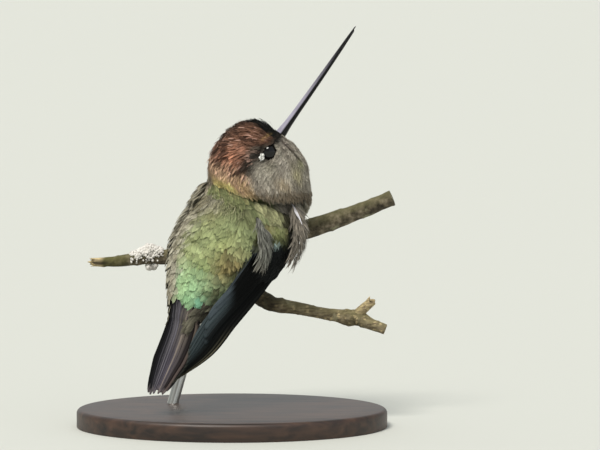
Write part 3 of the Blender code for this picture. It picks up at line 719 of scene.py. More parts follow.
def back_colour(place, turn, blotch, fleck):
    """Olive with pale and bronze patches, passing into mint green on the rump."""
    right = off_back(turn)
    olive = tones("80885f", "95a075", blotch + 0.5 * fleck, -0.6, 0.7)
    olive = tinge(olive, "6f7350", 0.5 * fading(fleck, -0.8, -0.2))
    mint = tones("98b487", "84a584", blotch, -0.5, 0.5)
    back = mix(olive, mint, fading(place, 3.4, 4.5))
    back = mix(back, back * 0.72, between(place, 5.3, 6.3))
    back = spotted(back, place, turn, RUMP_SPOTS)
    back = tinge(back, "6e7f50", 0.6 * np.maximum(spot(place, turn, (4.05, 7), (0.28, 9)),
                                                  spot(place, turn, (4.35, 33), (0.25, 9))))
    back = tinge(back, "56684a", 0.7 * fading(place, 2.62, 2.88) * between(right, 4, 20))
    back = tinge(back, "6b6654", 0.85 * fading(place, 3.3, 3.9) * between(right, 50, 62))
    back = spotted(back, place, turn, FLANK_SPOTS)
    mottle = between(fleck + 0.4 * blotch, -0.5, 0.6)
    return tinge(back, "827a5e", 0.75 * between(place, 5.9, 7.5) * mottle)


def body_colour(place, turn, blotch, fleck):
    """The back's colours, taupe on the left side, grey below, and a paler vent."""
    right = off_back(turn)
    side = np.abs(right)
    taupe = tones("857f6e", "9e9a8a", fleck + 0.4 * blotch, -0.5, 0.6)
    leftward = -right + 9 * fleck + 8 * blotch + 14 * between(place, 5.4, 6.6)
    body = mix(back_colour(place, turn, blotch, fleck), taupe, between(leftward, 14, 44))
    body = tinge(body, "655f48", 0.75 * spot(place, turn, (6.6, -38), (0.9, 15)))
    body = mix(body, tones("8d867a", "7c766c", fleck, -0.5, 0.5), between(right, 66, 92))
    body = tinge(body, "8b8a76", 0.5 * between(side, 110, 150) * between(blotch, -0.3, 0.5))
    return tinge(body, "a39a86", 0.6 * between(side, 130, 170) * fading(place, 2.8, 4.2))


def crown_colour(place, turn, blotch, fleck):
    """Rufous with a dark middle line, buff towards the nape, and a yellow and tan collar."""
    right = off_back(turn)
    side = np.abs(right)
    crown = tones("8a6554", "624637", blotch + fleck, -0.5, 0.6)
    crown = tinge(crown, "735343", 0.75 * between(place, 10.3, 11.3))
    crown = tinge(crown, "553f31", 0.7 * between(place, 11.4, 12.3))
    crown = tinge(crown, "b98268", 0.85 * spot(place, side * DEG, (10.05, 34), (0.45, 14)))
    crown = tinge(crown, "2b2019", 0.8 * np.exp(-(side / 19) ** 2) * between(place, 9.7, 10.5))
    crown = tinge(crown, "c0a085", 0.85 * fading(place, 9.3, 9.75))
    buff = tones("b99d76", "9c8368", blotch + 0.5 * fleck, -0.5, 0.5)
    crown = mix(crown, buff, fading(place, 9.1, 9.6) * between(side, 30, 48))
    above = place - collar_place(turn)
    crown = tinge(crown, "f0de92", 0.95 * np.exp(-((above - 0.5) / 0.48) ** 2)
                  * between(right, -26, -12) * fading(right, 18, 34))
    return tinge(crown, "b5a778", 0.8 * fading(above, 0, 0.3))


def throat_colour(place, turn, blotch, fleck, cloud):
    """Grey, clouded and flecked, with pale and olive spots."""
    side = np.abs(off_back(turn))
    throat = tones("a39c8f", "827b70", fleck + 0.5 * blotch, -0.6, 0.6)
    throat = spotted(throat, place, turn, THROAT_SPOTS)
    throat = tinge(throat, "544c43", 0.75 * between(fleck, 0.0, 0.4) * between(place, 11.9, 12.3)
                   * between(side, 86, 94))
    throat = tinge(throat, "69644f", 0.6 * spot(place, turn, (11.1, 118), (0.3, 7)))
    throat = tinge(throat, "b9b0a0", 0.45 * between(cloud, 0.1, 0.9))
    return tinge(throat, "665f55", 0.5 * fading(cloud, -0.9, -0.2))


def plumage_colour(place, turn, where):
    """The markings over the whole bird, worked out from the place along the spine and the
    angle: named colours blended over named fields, with soft mottling from waves, and painted
    shade in the fold below the collar and along the head's lower rim."""
    right = off_back(turn)
    side = np.abs(right)
    blotch, fleck, cloud = waves(where, 7.0, 61), waves(where, 2.2, 62), waves(where, 4.2, 64)
    crown = crown_colour(place, turn, blotch, fleck)
    throat = throat_colour(place, turn, blotch, fleck, cloud)
    brow = 20 * between(place, 10.8, 11.6)      # before the eye the crown reaches further down
    head = mix(crown, throat, between(side - brow, 50, 66))
    head = tinge(head, "8a8273", 0.9 * fading(place, 8.6, 9.4) * fading(right, -30, -8))
    ear = np.exp(-((side - (60 + 8 * (place - 10.0))) / 10.5) ** 2)
    head = tinge(head, "1e1a17", 0.97 * between(place, 9.25, 9.8)
                 * fading(place, 11.1, 11.6) * ear)
    face = fading(side, 70, 86 - 8 * fading(place, 12.3, 12.6))
    head = tinge(head, "0b0c09", between(place + 0.3 * fleck, 12.0, 12.35) * face)
    lores = np.exp(-((side - 80) / 9.0) ** 2)
    head = tinge(head, "0f0d0b", between(place, 11.5, 11.9) * lores)
    head = tinge(head, "a5884f", 0.75 * spot(place, side * DEG, (12.05, 62), (0.42, 1.8)))
    malar = np.exp(-((side - (98 + 52 * (12.45 - place))) / 6.0) ** 2)
    head = tinge(head, "38322c", 0.85 * malar * between(place, 11.6, 11.9)
                 * fading(place, 12.5, 12.8))
    # Painted shade: the head's lowest band just above the collar, on the right side and under the
    # throat, is darkened as the shade below the cheek.
    above = place - collar_place(turn)
    head = tinge(head, "594d3d", 0.8 * fading(above, 0.28, 0.6) * between(right, 38, 56))
    body = body_colour(place, turn, blotch, fleck)
    colour = mix(body, head, between(place, collar_place(turn) - 0.1, collar_place(turn) + 0.1))
    for centre in eye_centres.values():
        ring = np.linalg.norm(where - centre, axis=-1) - EYE_RADIUS
        colour = tinge(colour, "141210", 0.85 * fading(ring, 0.1, 0.3))
    # Painted shade: the plumage is darkened in the fold below the collar.
    return mix(colour, colour * 0.4, 0.35 * crease(place, turn))


LID_OPEN = (2.08, 1.55)              # half length and half height of the eye's opening
eye_centres, eye_axes = {}, {}       # the directions out of each eye, forward, and upward
for name, sign in SIDES.items():
    eye_centres[name] = bird_point((EYE_PLACE[0], sign * EYE_PLACE[1], EYE_PLACE[2]))
    _, spine, back, right = spine_frame(np.float64(EYE_PLACE[0]))
    out = unit(sign * right + 0.05 * back)
    fore = unit(spine - np.sum(spine * out) * out)
    eye_axes[name] = (out, fore, np.cross(out, fore))

SKIN_ROWS, SKIN_SIDES = 360, 160
ARM_GRID, ARM_DEPTH = 24, 4.5
SOCKET = EYE_RADIUS - 0.25           # the skin is kept out to this radius behind each eyeball
place, turn = np.meshgrid(np.linspace(TAIL_ROOT + 0.05, BILL_BASE, SKIN_ROWS),
                          np.linspace(-np.pi, np.pi, SKIN_SIDES, endpoint=False), indexing="ij")
on_outline, _, _, outward = read_chart(body_chart, place, turn)
depth = np.minimum(coat_depth(place, turn), 0.35 + 0.9 * (BILL_BASE - place))
skin_points = on_outline - outward * depth[..., None]
for centre in eye_centres.values():
    gap = np.linalg.norm(skin_points - centre, axis=-1, keepdims=True)
    skin_points = np.where(gap < SOCKET, centre + unit(skin_points - centre) * SOCKET, skin_points)
skin_colour = plumage_colour(place, turn, skin_points) * 0.8
unwrap = np.stack([turn / (2 * np.pi) + 0.5, (place - TAIL_ROOT) / (BILL_BASE - TAIL_ROOT)], axis=-1)

# Downy skin: matt and dull, with 0.3 mm down that softens the gaps between the feathers.
down_skin, tree, shader = new_material("downy_skin", Roughness=0.95, Specular_IOR_Level=0.1)
marks = add_node(tree, "VertexColor", {"layer_name": "markings"})
dress(tree, shader, marks.outputs["Color"], noise(tree, 3300.0, Detail=3.0), 0.8, 0.0003)


def closed_sheet(rows, columns):
    """The quads of an upper and a lower sheet of points, joined round their rim."""
    size = rows * columns
    index = np.arange(size).reshape(rows, columns)
    rim = np.concatenate([index[0, :-1], index[:-1, -1], index[-1, :0:-1], index[:0:-1, 0]])
    after = np.roll(rim, -1)
    sheet = grid_quads(rows, columns)
    return np.concatenate([sheet, sheet[:, ::-1] + size,
                           np.stack([after, rim, rim + size, after + size], -1)])


quads, caps = closed_tube(skin_points)
parts = [(skin_points, quads[:, ::-1], [cap[::-1] for cap in caps], skin_colour, unwrap)]
for side in SIDES:
    length, width = np.meshgrid(np.linspace(0.02, 1.0, ARM_GRID),
                                np.linspace(-0.97, 0.97, ARM_GRID), indexing="ij")
    rim_drop = -0.75 - 1.2 * (np.abs(width) ** 6 + (1 - length) ** 6)
    arm = np.stack([arm_point(side, length, width, rim_drop),
                    arm_point(side, length, width, np.full(width.shape, -ARM_DEPTH))])
    quads = closed_sheet(ARM_GRID, ARM_GRID)
    tint = tones("191b1a", "6f7554", np.stack([length, length]), 0.35, 0.6)
    if side == "left":
        quads = quads[:, ::-1]
        tint = np.broadcast_to(linear("6b6658"), tint.shape)
    spread = np.stack([0.1 + 0.01 * width, 0.9 + 0.01 * length], -1)
    parts.append((arm, quads, [], tint, np.stack([spread, spread])))
    centre, outward, radius, _, _ = tube(leg_rows(side), 16, 20)
    leg = centre + outward * radius
    tint = np.broadcast_to(linear("8d867a") * 0.6, leg.shape)
    parts.append((leg, *closed_tube(leg), tint, np.full((*leg.shape[:2], 2), 0.02)))
make_piece("skin", *joined(parts)[:2], down_skin, "back_feathers",
           ["head", "neck", "trunk", "leg_left", "leg_right"], joined(parts)[2],
           {"markings": np.concatenate([part[3].reshape(-1, 3) for part in parts]),
            "OFBake": np.concatenate([part[4].reshape(-1, 2) for part in parts])})


# ---- Contour feathers -------------------------------------------------------------------
# The small feathers that cover head and body. Each is a soft vane on a fine shaft, rooted in
# the skin, lying backwards over the next like a roof tile, with a loose frayed end.
COAT_COUNT, COAT_ROWS, COAT_COLUMNS = 15500, 7, 5
BARB_COUNT, BARB_ROWS, BARB_COLUMNS = 16000, 5, 2
LID_FEATHERS, LID_ROWS, LID_COLUMNS = 190, 5, 4
SPOT_FEATHERS = 44
SPOT_MIDDLE, SPOT_REACH = (10.78, 74.5), (0.15, 2.6)       # place along the spine, degrees
CROWN_FROM, HEAD_FROM, BODY_TO = 10.9, 9.3, 7.6      # spine places that part the coat's pieces
UPPER_TO, LOWER_FROM = 70, 125       # degrees from the back that part them
RUMP_END, RUMP_SIDE = 3.42, 82       # tailward of this place, above this angle, the tail takes over
SIZE_SPREAD = (0.85, 1.2)
BARB_LENGTH, BARB_WIDTH, BARB_RISE = (1.6, 3.0), (0.1, 0.17), (0.3, 0.75)
FOLD_MARGIN = 0.12                   # spine places between a worn end and the collar's edge
WORN_AT = 0.75                       # the share of a feather's length whose place gives its colour


def spread_vane(path, outward, reach_left, reach_right, columns, cup):
    """Opens a line of points into a vane: each row reaches to both sides, square to the path
    and to the outward direction, and curves down by cup times its reach at the edges."""
    heading = unit(np.gradient(path, axis=1))
    aside = unit(np.cross(outward, heading))
    share = np.linspace(-1, 1, columns)
    reach = np.where(share < 0, reach_left[..., None], reach_right[..., None]) * share
    drop = np.abs(reach) * np.abs(share) * cup
    return (path[:, :, None] + reach[..., None] * aside[:, :, None]
            - drop[..., None] * outward[:, :, None]), heading


def lay_feathers(chart, a, b, length, width, root, tip, skew, rows=6, columns=5, pointed=0.3,
                 fray=0.12, stiff=0.35, cup=0.18, seed=0):
    """Feathers rooted at places (a, b) of a chart. Each walks over the surface against the
    first parameter, turned aside by skew, in equal steps of its length. It rises from root
    to tip millimetres over the surface, and widens into a vane with a frayed end. Returns
    the points and the place on the chart that each feather's end lies over."""
    def heading_over(ahead, aside):
        """The feathers' direction, given the chart's two directions under them."""
        return unit(-np.cos(skew)[:, None] * unit(ahead) + np.sin(skew)[:, None] * unit(aside))

    chance = np.random.default_rng(seed)
    share = np.linspace(0, 1, rows)
    point, ahead, aside, outward = read_chart(chart, a, b)
    path, lifted = [point], [outward]
    first = heading_over(ahead, aside)
    for row in range(1, rows):
        step = length * (share[row] - share[row - 1])
        heading = unit((1 - stiff) * heading_over(ahead, aside) + stiff * first)
        a = a - np.cos(skew) * step / np.linalg.norm(ahead, axis=-1)
        b = b + np.sin(skew) * step / np.linalg.norm(aside, axis=-1)
        _, ahead, aside, outward = read_chart(chart, a, b)
        path.append(path[-1] + heading * step[:, None])
        lifted.append(outward)
        if row == int(WORN_AT * rows):
            worn = (a, b)
    path, lifted = np.stack(path, axis=1), np.stack(lifted, axis=1)
    rise = root[:, None] + (tip - root)[:, None] * (1 - (1 - share) ** 2)
    path = path + lifted * rise[..., None]
    at = np.minimum(share, 0.985)
    opening = 0.3 + 0.7 * between(at, 0.0, 0.45)
    round_end = np.sqrt(1 - at ** 5)
    sharp_end = (1 - at ** 1.7) ** 0.9
    pointed = np.asarray(pointed)[..., None]
    profile = opening * (round_end * (1 - pointed) + sharp_end * pointed)
    reach = 0.5 * width[:, None] * profile
    points, heading = spread_vane(path, lifted, reach, reach, columns, cup)
    ragged = chance.normal(0, 1, (len(a), rows, columns)) * between(share, 0.6, 1.0)[None, :, None]
    points = points + heading[:, :, None] * (ragged * (fray * length)[:, None, None])[..., None]
    return points, worn


def vane_colours(colour, rows, columns, seed, root_shade=0.4, edge=0.3):
    """A colour for each point of each feather: darker at the hidden root, partly the feather's own
    darker base and partly painted shade under the feather above, a little paler at the frayed
    rim, with barbs of slightly different tone."""
    chance = np.random.default_rng(seed)
    along = np.linspace(0, 1, rows)[None, :, None]
    across = np.abs(np.linspace(-1, 1, columns))[None, None]
    tone = root_shade + (1 - root_shade) * between(along, 0.0, 0.55)
    tone = tone * (1 + edge * (across ** 2 * along + along ** 3 - 0.5))
    tone = tone * (1 + chance.normal(0, 0.06, (len(colour), rows, columns)))
    return np.clip(colour[:, None, None] * tone[..., None], 0, 1)


def feather_piece(name, points, tints, chart, a, b, material, slot, stands_for=()):
    """One piece of feathers rooted at places (a, b) of a chart, with two maps: across and
    along each vane, and the bake map, where each is a small patch at its root's place."""
    count, rows, columns = points.shape[:3]
    span = chart["last"] - chart["first"]
    across, along = np.meshgrid(np.linspace(0, 1, columns), np.linspace(0, 1, rows))
    vane = np.broadcast_to(np.stack([across, along], -1), (count, rows, columns, 2))
    home = np.stack([(b - chart["first"][1]) / span[1], (a - chart["first"][0]) / span[0]], -1)
    quads = copies(grid_quads(rows, columns)[:, ::-1], count, rows * columns)
    make_piece(name, points, quads, material, slot, stands_for, layers={
        "markings": tints, "vane": vane, "OFBake": home[:, None, None] * (1 - PATCH) + vane * PATCH})


def scatter(count, density, first, last, seed):
    """Evenly spread random places over two parameters, denser where density says so: a
    low-discrepancy sequence put through the density's own sums."""
    a, b = np.linspace(first[0], last[0], 400), np.linspace(first[1], last[1], 240)
    weight = density(*np.meshgrid(a, b, indexing="ij"))
    number = np.arange(count) + seed
    u, v = np.mod(0.5 + number * 0.7548776662, 1), np.mod(0.5 + number * 0.5698402910, 1)
    rows = np.cumsum(weight.sum(axis=1))
    picked = np.interp(u * rows[-1], rows, a)
    row = np.clip(np.searchsorted(a, picked), 0, len(a) - 1)
    sums = np.cumsum(weight[row], axis=1)
    column = (sums < (v * sums[:, -1])[:, None]).sum(axis=1).clip(1, len(b) - 1)
    low = sums[np.arange(count), column - 1]
    high = sums[np.arange(count), column]
    part = np.clip((v * sums[:, -1] - low) / np.maximum(high - low, 1e-9), 0, 1)
    return picked, b[column - 1] + part * (b[1] - b[0])


def body_area(place, turn):
    """The surface in each step of place and angle."""
    _, ahead, aside, _ = read_chart(body_chart, place, turn)
    return np.linalg.norm(np.cross(ahead, aside), axis=-1)


def feather_size(place, turn):
    """Length and width of the feathers: small on the face, crown and chin, large on the back."""
    on_body = fading(place, collar_place(turn) - 0.4, collar_place(turn) + 0.3)
    on_face = between(place, 10.2, 12.6)
    crown = between(place, 9.0, 10.0) * fading(np.abs(off_back(turn)), 55, 75)
    length = 2.9 - 1.5 * on_face + 2.0 * on_body
    width = 0.95 - 0.35 * on_face + 2.1 * on_body
    return length + 0.9 * crown, width - 0.28 * crown


def coat_density(place, turn):
    """Feathers in each step of place and angle, so that each covers the next by two thirds."""
    length, width = feather_size(place, turn)
    return body_area(place, turn) / (length * width)


def lie_of_coat(place, turn):
    """How far the feathers turn aside from the spine's own line: over the crown and the sides
    of the head they sweep up and back from the bill, mirrored on the left."""
    right = off_back(turn)
    side = np.abs(right)
    sweep = 0.5 * between(place, 8.7, 9.8) + 0.5 * between(place, 9.8, 11.2)
    sweep = sweep * fading(place, 12.8, 13.5)
    return -np.sign(right) * sweep * between(side, 2, 25) * fading(side, 78, 118)


def off_fold(place, turn, below, above):
    """Which places keep clear of the collar's fold, by a distance below it and one above."""
    gap = place - collar_place(turn)
    return (gap < below) | (gap > above) | (crease(collar_place(turn) - 0.25, turn) < 0.3)


def worn_colour(worn, on_head):
    """The markings under the feathers' ends, each read on its own side of the collar's edge."""
    edge = collar_place(worn[1])
    place = np.where(on_head, np.maximum(worn[0], edge + FOLD_MARGIN),
                     np.minimum(worn[0], edge - FOLD_MARGIN))
    return plumage_colour(place, worn[1], read_chart(body_chart, *worn)[0])


def clear_of_eyes(points, margin):
    """Which feathers keep off the eyes: none of their points lies over an eye's opening,
    widened by that share."""
    clear = np.ones(len(points), bool)
    for name, centre in eye_centres.items():
        out, fore, up = eye_axes[name]
        gap = points - centre
        off = np.hypot(gap @ fore / LID_OPEN[0], gap @ up / LID_OPEN[1])
        over = (off < margin) & (gap @ out > 0)
        clear &= ~over.reshape(len(points), -1).any(axis=1)
    return clear


# Contour vanes: keratin barbs that lie side by side, matt with a faint silky sheen. The barbs
# are drawn about 0.5 mm apart, coarser than the real 0.05 mm, so that they show.
def plumage_material(name, barbs, sheen, gloss, shine):
    """Matt barbs coloured by the markings, with slanting barb lines across each vane."""
    material, tree, shader = new_material(name, Roughness=gloss, Specular_IOR_Level=shine,
                                          Sheen_Weight=sheen, Sheen_Roughness=0.4)
    marks = add_node(tree, "VertexColor", {"layer_name": "markings"})
    vane = add_node(tree, "UVMap", {"uv_map": "vane"})
    flat = add_node(tree, "SeparateXYZ", inputs={"Vector": vane.outputs["UV"]})
    off_shaft = add_node(tree, "Math", {"operation": "SUBTRACT"}, {0: flat.outputs["X"], 1: 0.5})
    spread = add_node(tree, "Math", {"operation": "ABSOLUTE"}, {0: off_shaft.outputs["Value"]})
    slant = add_node(tree, "Math", {"operation": "MULTIPLY_ADD"}, {
        0: spread.outputs["Value"], 1: -1.2, 2: flat.outputs["Y"]})
    lines = add_node(tree, "CombineXYZ", inputs={"X": slant.outputs["Value"],
                                                 "Y": flat.outputs["X"]})
    stretch = add_node(tree, "Mapping", inputs={"Vector": lines.outputs["Vector"],
                                                "Scale": (barbs, 1.5, 1.0)})
    grain = add_node(tree, "TexCoord")
    wander = add_node(tree, "TexNoise", inputs={"Vector": grain.outputs["Object"], "Scale": 700.0})
    shifted = add_node(tree, "VectorMath", {"operation": "ADD"}, {
        0: stretch.outputs["Vector"], 1: wander.outputs["Color"]})
    barb = add_node(tree, "TexNoise", {"noise_dimensions": "2D"}, {
        "Vector": shifted.outputs["Vector"], "Scale": 1.0, "Detail": 2.0})
    tinted = add_node(tree, "VectorMath", {"operation": "SCALE"}, {
        0: marks.outputs["Color"], "Scale": rescale(tree, barb.outputs["Fac"], 0.3, 0.7, 0.62, 1.3)})
    dress(tree, shader, tinted.outputs["Vector"], barb.outputs["Fac"], 0.5, 0.00015)
    return material


soft_plumage = plumage_material("soft_contour_feathers", 9.0, 0.03, 0.85, 0.15)

# The coat: its feathers vary by chance, stand up in a rim along the collar and sink in below
# it, hang looser on the left flank and the belly, and are ruffled in waves over the crown.
place, turn = scatter(COAT_COUNT, coat_density, (TAIL_ROOT + 0.3, -np.pi),
                      (BILL_BASE - 0.25, np.pi), 3)
kept = off_fold(place, turn, -0.15, 0.4)
kept &= (place > RUMP_END) | (np.abs(off_back(turn)) > RUMP_SIDE)
place, turn = place[kept], turn[kept]
count = len(place)
chance = np.random.default_rng(17)
right = off_back(turn)
side = np.abs(right)
length, width = feather_size(place, turn)
length = length * chance.uniform(*SIZE_SPREAD, count)
width = width * chance.uniform(*SIZE_SPREAD, count)
folded = crease(collar_place(turn) - 0.25, turn)
above_fold = place - collar_place(turn)
rim = folded * np.exp(-((above_fold - 0.62) / 0.3) ** 2)
sunk = folded * fading(above_fold, -0.15, 0) * between(above_fold, -1.1, -0.3)
loose = fading(right, -60, -30) * fading(place, 7.0, 8.5) + 0.5 * between(side, 110, 150)
loose = np.clip(loose, 0, 1)
on_crown = between(place, 9.2, 10.0) * fading(side, 58, 75)
start, _, _, _ = read_chart(body_chart, place, turn)
skew = (lie_of_coat(place, turn) + chance.normal(0, 1, count) * (0.12 + 0.12 * loose)
        + 0.45 * on_crown * waves(start, 4.2, 23))
root = -coat_depth(place, turn) + 0.1 - 0.5 * sunk
tip = 0.12 + chance.normal(0, 0.1, count) + 0.45 * loose * chance.uniform(0, 1, count)
tip = tip + 0.2 * rim - 0.9 * sunk
tip = tip + chance.uniform(0.1, 0.5, count) * fading(place, 6.8, 7.4)
ruffle = 0.8 * chance.uniform(0, 1, count) ** 3 + 0.45 * waves(start, 2.6, 24).clip(-0.6, 1)
tip = tip + on_crown * ruffle
on_back = fading(place, 6.9, 7.5) * fading(side, 70, 95)
points, worn = lay_feathers(body_chart, place, turn, length, width, root, tip, skew, COAT_ROWS,
                            COAT_COLUMNS, pointed=0.35 - 0.3 * on_back, fray=0.11 - 0.065 * on_back,
                            cup=0.24, seed=18)
# Painted shade: feathers sunk below the collar's fold are darkened a little.
colour = worn_colour(worn, above_fold > 0.2) * (1 - 0.15 * sunk)[:, None]
# Painted shade and highlight over the crown: feathers along wavy lines, and some by chance, are
# painted dark for the shade in the gaps between clumps, and others pale as painted highlight on the
# clumps.
streaked = between(place, 9.0, 10.0) * fading(side, 62, 80) * fading(place, 12.2, 12.6)
ripple = waves(start, 2.4, 20) + 0.6 * waves(start, 5.0, 22)
dark = (chance.uniform(size=count) < 0.12) | (ripple > 0.55)
pale = (chance.uniform(size=count) < 0.12) | (ripple < -0.8)
colour = tinge(colour, "2a1c16", 0.85 * streaked * dark)
colour = tinge(colour, "c09a8a", 0.6 * streaked * pale * ~dark)
colour = colour * (1 + chance.normal(0, 0.16, count)).clip(0.5)[:, None]
shown = clear_of_eyes(points, 1.12)
tints = vane_colours(colour, COAT_ROWS, COAT_COLUMNS, 19)
upper, lower = side < UPPER_TO, side >= LOWER_FROM
middle = ~upper & ~lower
head, body = place > HEAD_FROM, place <= BODY_TO
neck = ~head & ~body
for name, slot, member in (
        ("coat_crown", "crown_feathers", upper & (place > CROWN_FROM)),
        ("coat_hind_crown", "crown_feathers", upper & head & (place <= CROWN_FROM)),
        ("coat_face", "throat_feathers", middle & head),
        ("coat_chin", "throat_feathers", lower & head),
        ("coat_nape", "crown_feathers", neck & (side < 90)),
        ("coat_throat", "throat_feathers", neck & (side >= 90)),
        ("coat_back", "back_feathers", upper & body),
        ("coat_flanks", "back_feathers", middle & body),
        ("coat_belly", "throat_feathers", lower & body)):
    pick = member & shown
    feather_piece(name, points[pick], tints[pick], body_chart, place[pick], turn[pick],
                  soft_plumage, slot)


# Free barbs: single hairs of down and barb tips that have come loose and stand a little proud,
# most of them paler or darker than the feathers under them.
def barb_density(place, turn):
    """Free barbs in each step of place and angle: fewer over the back and the ear, more on
    the head."""
    plain = 0.35 + 0.65 * between(np.abs(place - 5.4), 0.9, 1.9)
    plain = plain * (1 - 0.6 * between(np.abs(off_back(turn)), 62, 80))
    return body_area(place, turn) * plain * (1 + 0.8 * between(place, 9.0, 10.5))


place, turn = scatter(BARB_COUNT, barb_density, (TAIL_ROOT + 0.6, -np.pi),
                      (BILL_BASE - 0.5, np.pi), 7)
kept = off_fold(place, turn, -0.5, 0.45) & (place > 3.6)
place, turn = place[kept], turn[kept]
count = len(place)
side = np.abs(off_back(turn))
above_fold = place - collar_place(turn)
on_head = between(above_fold, 0.0, 0.5)
chance = np.random.default_rng(27)
length = chance.uniform(*BARB_LENGTH, count) * (1 - 0.35 * between(place, 10.5, 12.5))
skew = lie_of_coat(place, turn) + chance.normal(0, 0.28, count)
width, tip = chance.uniform(*BARB_WIDTH, count), chance.uniform(*BARB_RISE, count) - 0.15 * on_head
points, worn = lay_feathers(body_chart, place, turn, length, width, np.full(count, -0.1), tip, skew,
                            BARB_ROWS, BARB_COLUMNS, pointed=1.0, fray=0.0, stiff=0.6, cup=0.0,
                            seed=28)
colour = worn_colour(worn, above_fold > 0.2) * chance.uniform(0.6, 1.45, count)[:, None]
straw = (chance.uniform(size=count) < 0.3) * (1 - on_head) * fading(side, 40, 70)
colour = tinge(colour, "b9b592", 0.5 * straw)
dark_hair = (chance.uniform(size=count) < 0.35) * on_head * fading(side, 55, 75)
colour = tinge(colour, "30231c", 0.7 * dark_hair)
shown = clear_of_eyes(points, 1.2)
tints = vane_colours(colour, BARB_ROWS, BARB_COLUMNS, 29, root_shade=0.7, edge=0.1)
for name, member in (("free_barbs_head", on_head > 0.5), ("free_barbs_body", on_head <= 0.5)):
    pick = member & shown
    feather_piece(name, points[pick], tints[pick], body_chart, place[pick], turn[pick],
                  soft_plumage, "down_feathers")


def lid_radius(angle):
    """How far the eye's opening reaches from its middle, at angles from the bill's side."""
    long, high = LID_OPEN
    return long * high / np.hypot(high * np.cos(angle), long * np.sin(angle))


# Tiny feathers grow on the outside of the lids and part round the eye towards the back.
near_place, near_turn = np.meshgrid(np.linspace(10.0, 12.6, 70), np.linspace(52, 108, 70) * DEG,
                                    indexing="ij")
share = np.linspace(0, 1, LID_ROWS)
for name, sign in SIDES.items():
    chance = np.random.default_rng(37)
    out, fore, up = eye_axes[name]
    angle = np.linspace(-np.pi, np.pi, LID_FEATHERS, endpoint=False)
    angle = angle + chance.normal(0, 0.03, LID_FEATHERS)
    radial = unit(np.cos(angle)[:, None] * fore * LID_OPEN[0]
                  + np.sin(angle)[:, None] * up * LID_OPEN[1])
    rim = lid_radius(angle) * chance.uniform(1.06, 1.5, LID_FEATHERS)
    parting = unit(np.cross(out, radial)) * np.where(np.sin(angle) < 0, -1.0, 1.0)[:, None]
    heading = unit(parting + (0.25 + 0.9 * (-np.cos(angle)).clip(0))[:, None] * radial)
    on_ball = np.sqrt(np.clip(EYE_RADIUS ** 2 - rim ** 2, 0.6, None)) + 0.12
    start = eye_centres[name] + rim[:, None] * radial + on_ball[:, None] * out
    span = chance.uniform(0.6, 1.1, LID_FEATHERS)[:, None] * share
    rise = (2.05 - on_ball).clip(0.1)[:, None] * np.sqrt(share)
    path = start[:, None] + span[..., None] * heading[:, None] + rise[..., None] * out
    reach = 0.5 * chance.uniform(0.3, 0.5, LID_FEATHERS)[:, None] * np.sqrt(1.02 - share ** 3)
    points, _ = spread_vane(path, np.broadcast_to(out, path.shape), reach, reach, LID_COLUMNS, 0.2)
    grid, _, _, _ = read_chart(body_chart, near_place, sign * near_turn)
    nearest = np.linalg.norm(grid.reshape(-1, 1, 3) - path[:, 3], axis=-1).argmin(axis=0)
    home = near_place.ravel()[nearest], sign * near_turn.ravel()[nearest]
    tint = plumage_colour(*home, path[:, 3]) * chance.uniform(0.75, 1.15, LID_FEATHERS)[:, None]
    tints = vane_colours(tint, LID_ROWS, LID_COLUMNS, 38, root_shade=0.6, edge=0.1)
    feather_piece(f"lid_feathers_{name}", points, tints, body_chart, *home, soft_plumage,
                  "crown_feathers")

# The white spot behind each eye: a few short dense feathers at the rim of the lid.
for name, sign in SIDES.items():
    chance = np.random.default_rng(33)
    count = SPOT_FEATHERS
    place = SPOT_MIDDLE[0] + chance.uniform(-1, 1, count) * SPOT_REACH[0]
    turn = sign * (SPOT_MIDDLE[1] + chance.uniform(-1, 1, count) * SPOT_REACH[1]) * DEG
    points, _ = lay_feathers(body_chart, place, turn, chance.uniform(0.6, 0.9, count),
                             chance.uniform(0.3, 0.42, count), np.full(count, 0.1),
                             chance.uniform(0.45, 0.65, count), chance.normal(0, 0.15, count),
                             LID_ROWS, LID_COLUMNS, pointed=0.4, seed=34)
    tint = linear("efefe9") * chance.choice([0.45, 0.9, 1.0], count)[:, None]
    tints = vane_colours(tint, LID_ROWS, LID_COLUMNS, 35, root_shade=0.8, edge=0.05)
    feather_piece(f"white_spot_{name}", points, tints, body_chart, place, turn, soft_plumage,
                  "throat_feathers")


# ---- Loose tufts ------------------------------------------------------------------------
# Long silky flank feathers that have slipped out over the folded right wing, and the loose
# feathers of the flanks, shoulders, nape and vent, which lie over the coat and the wings' roots.
TUFTS = (
    # name, feathers, colour, seed, solid it stands for, stiff white quills (place from the tip,
    # place across, length, width, colour), and the centre line from root to tip (spine place,
    # to the right, to the back, half width)
    ("tuft_over_wing", 520, "83837a", 14, (), (),
     ((7.0, 9.6, 9.4, 0.7), (6.5, 12.2, 10.4, 1.5), (5.9, 14.9, 8.4, 2.8),
      (5.3, 16.0, 6.3, 3.2), (4.6, 15.7, 4.6, 2.3))),
    ("tuft_before_wing", 420, "857d71", 16, ["flank_tuft_right"],
     ((1.0, 0.1, 6.2, 1.0, "cbc9ce"), (0.5, -0.75, 5.6, 0.45, "cfcdc8")),
     ((8.75, 12.4, -5.0, 0.5), (7.9, 16.3, -3.8, 1.5), (7.1, 18.6, -2.5, 2.6),
      (6.3, 19.5, -1.6, 3.0), (5.25, 19.3, -1.2, 1.7))),
)
TUFT_ROWS, TUFT_COLUMNS = 8, 4
TUFT_LENGTH, TUFT_WIDTH, TUFT_LIFT = (2.8, 5.2), (0.3, 0.9), (-0.3, 0.7)
LOOSE_ROWS, LOOSE_COLUMNS = 7, 5
QUILL_LIFT = 0.9


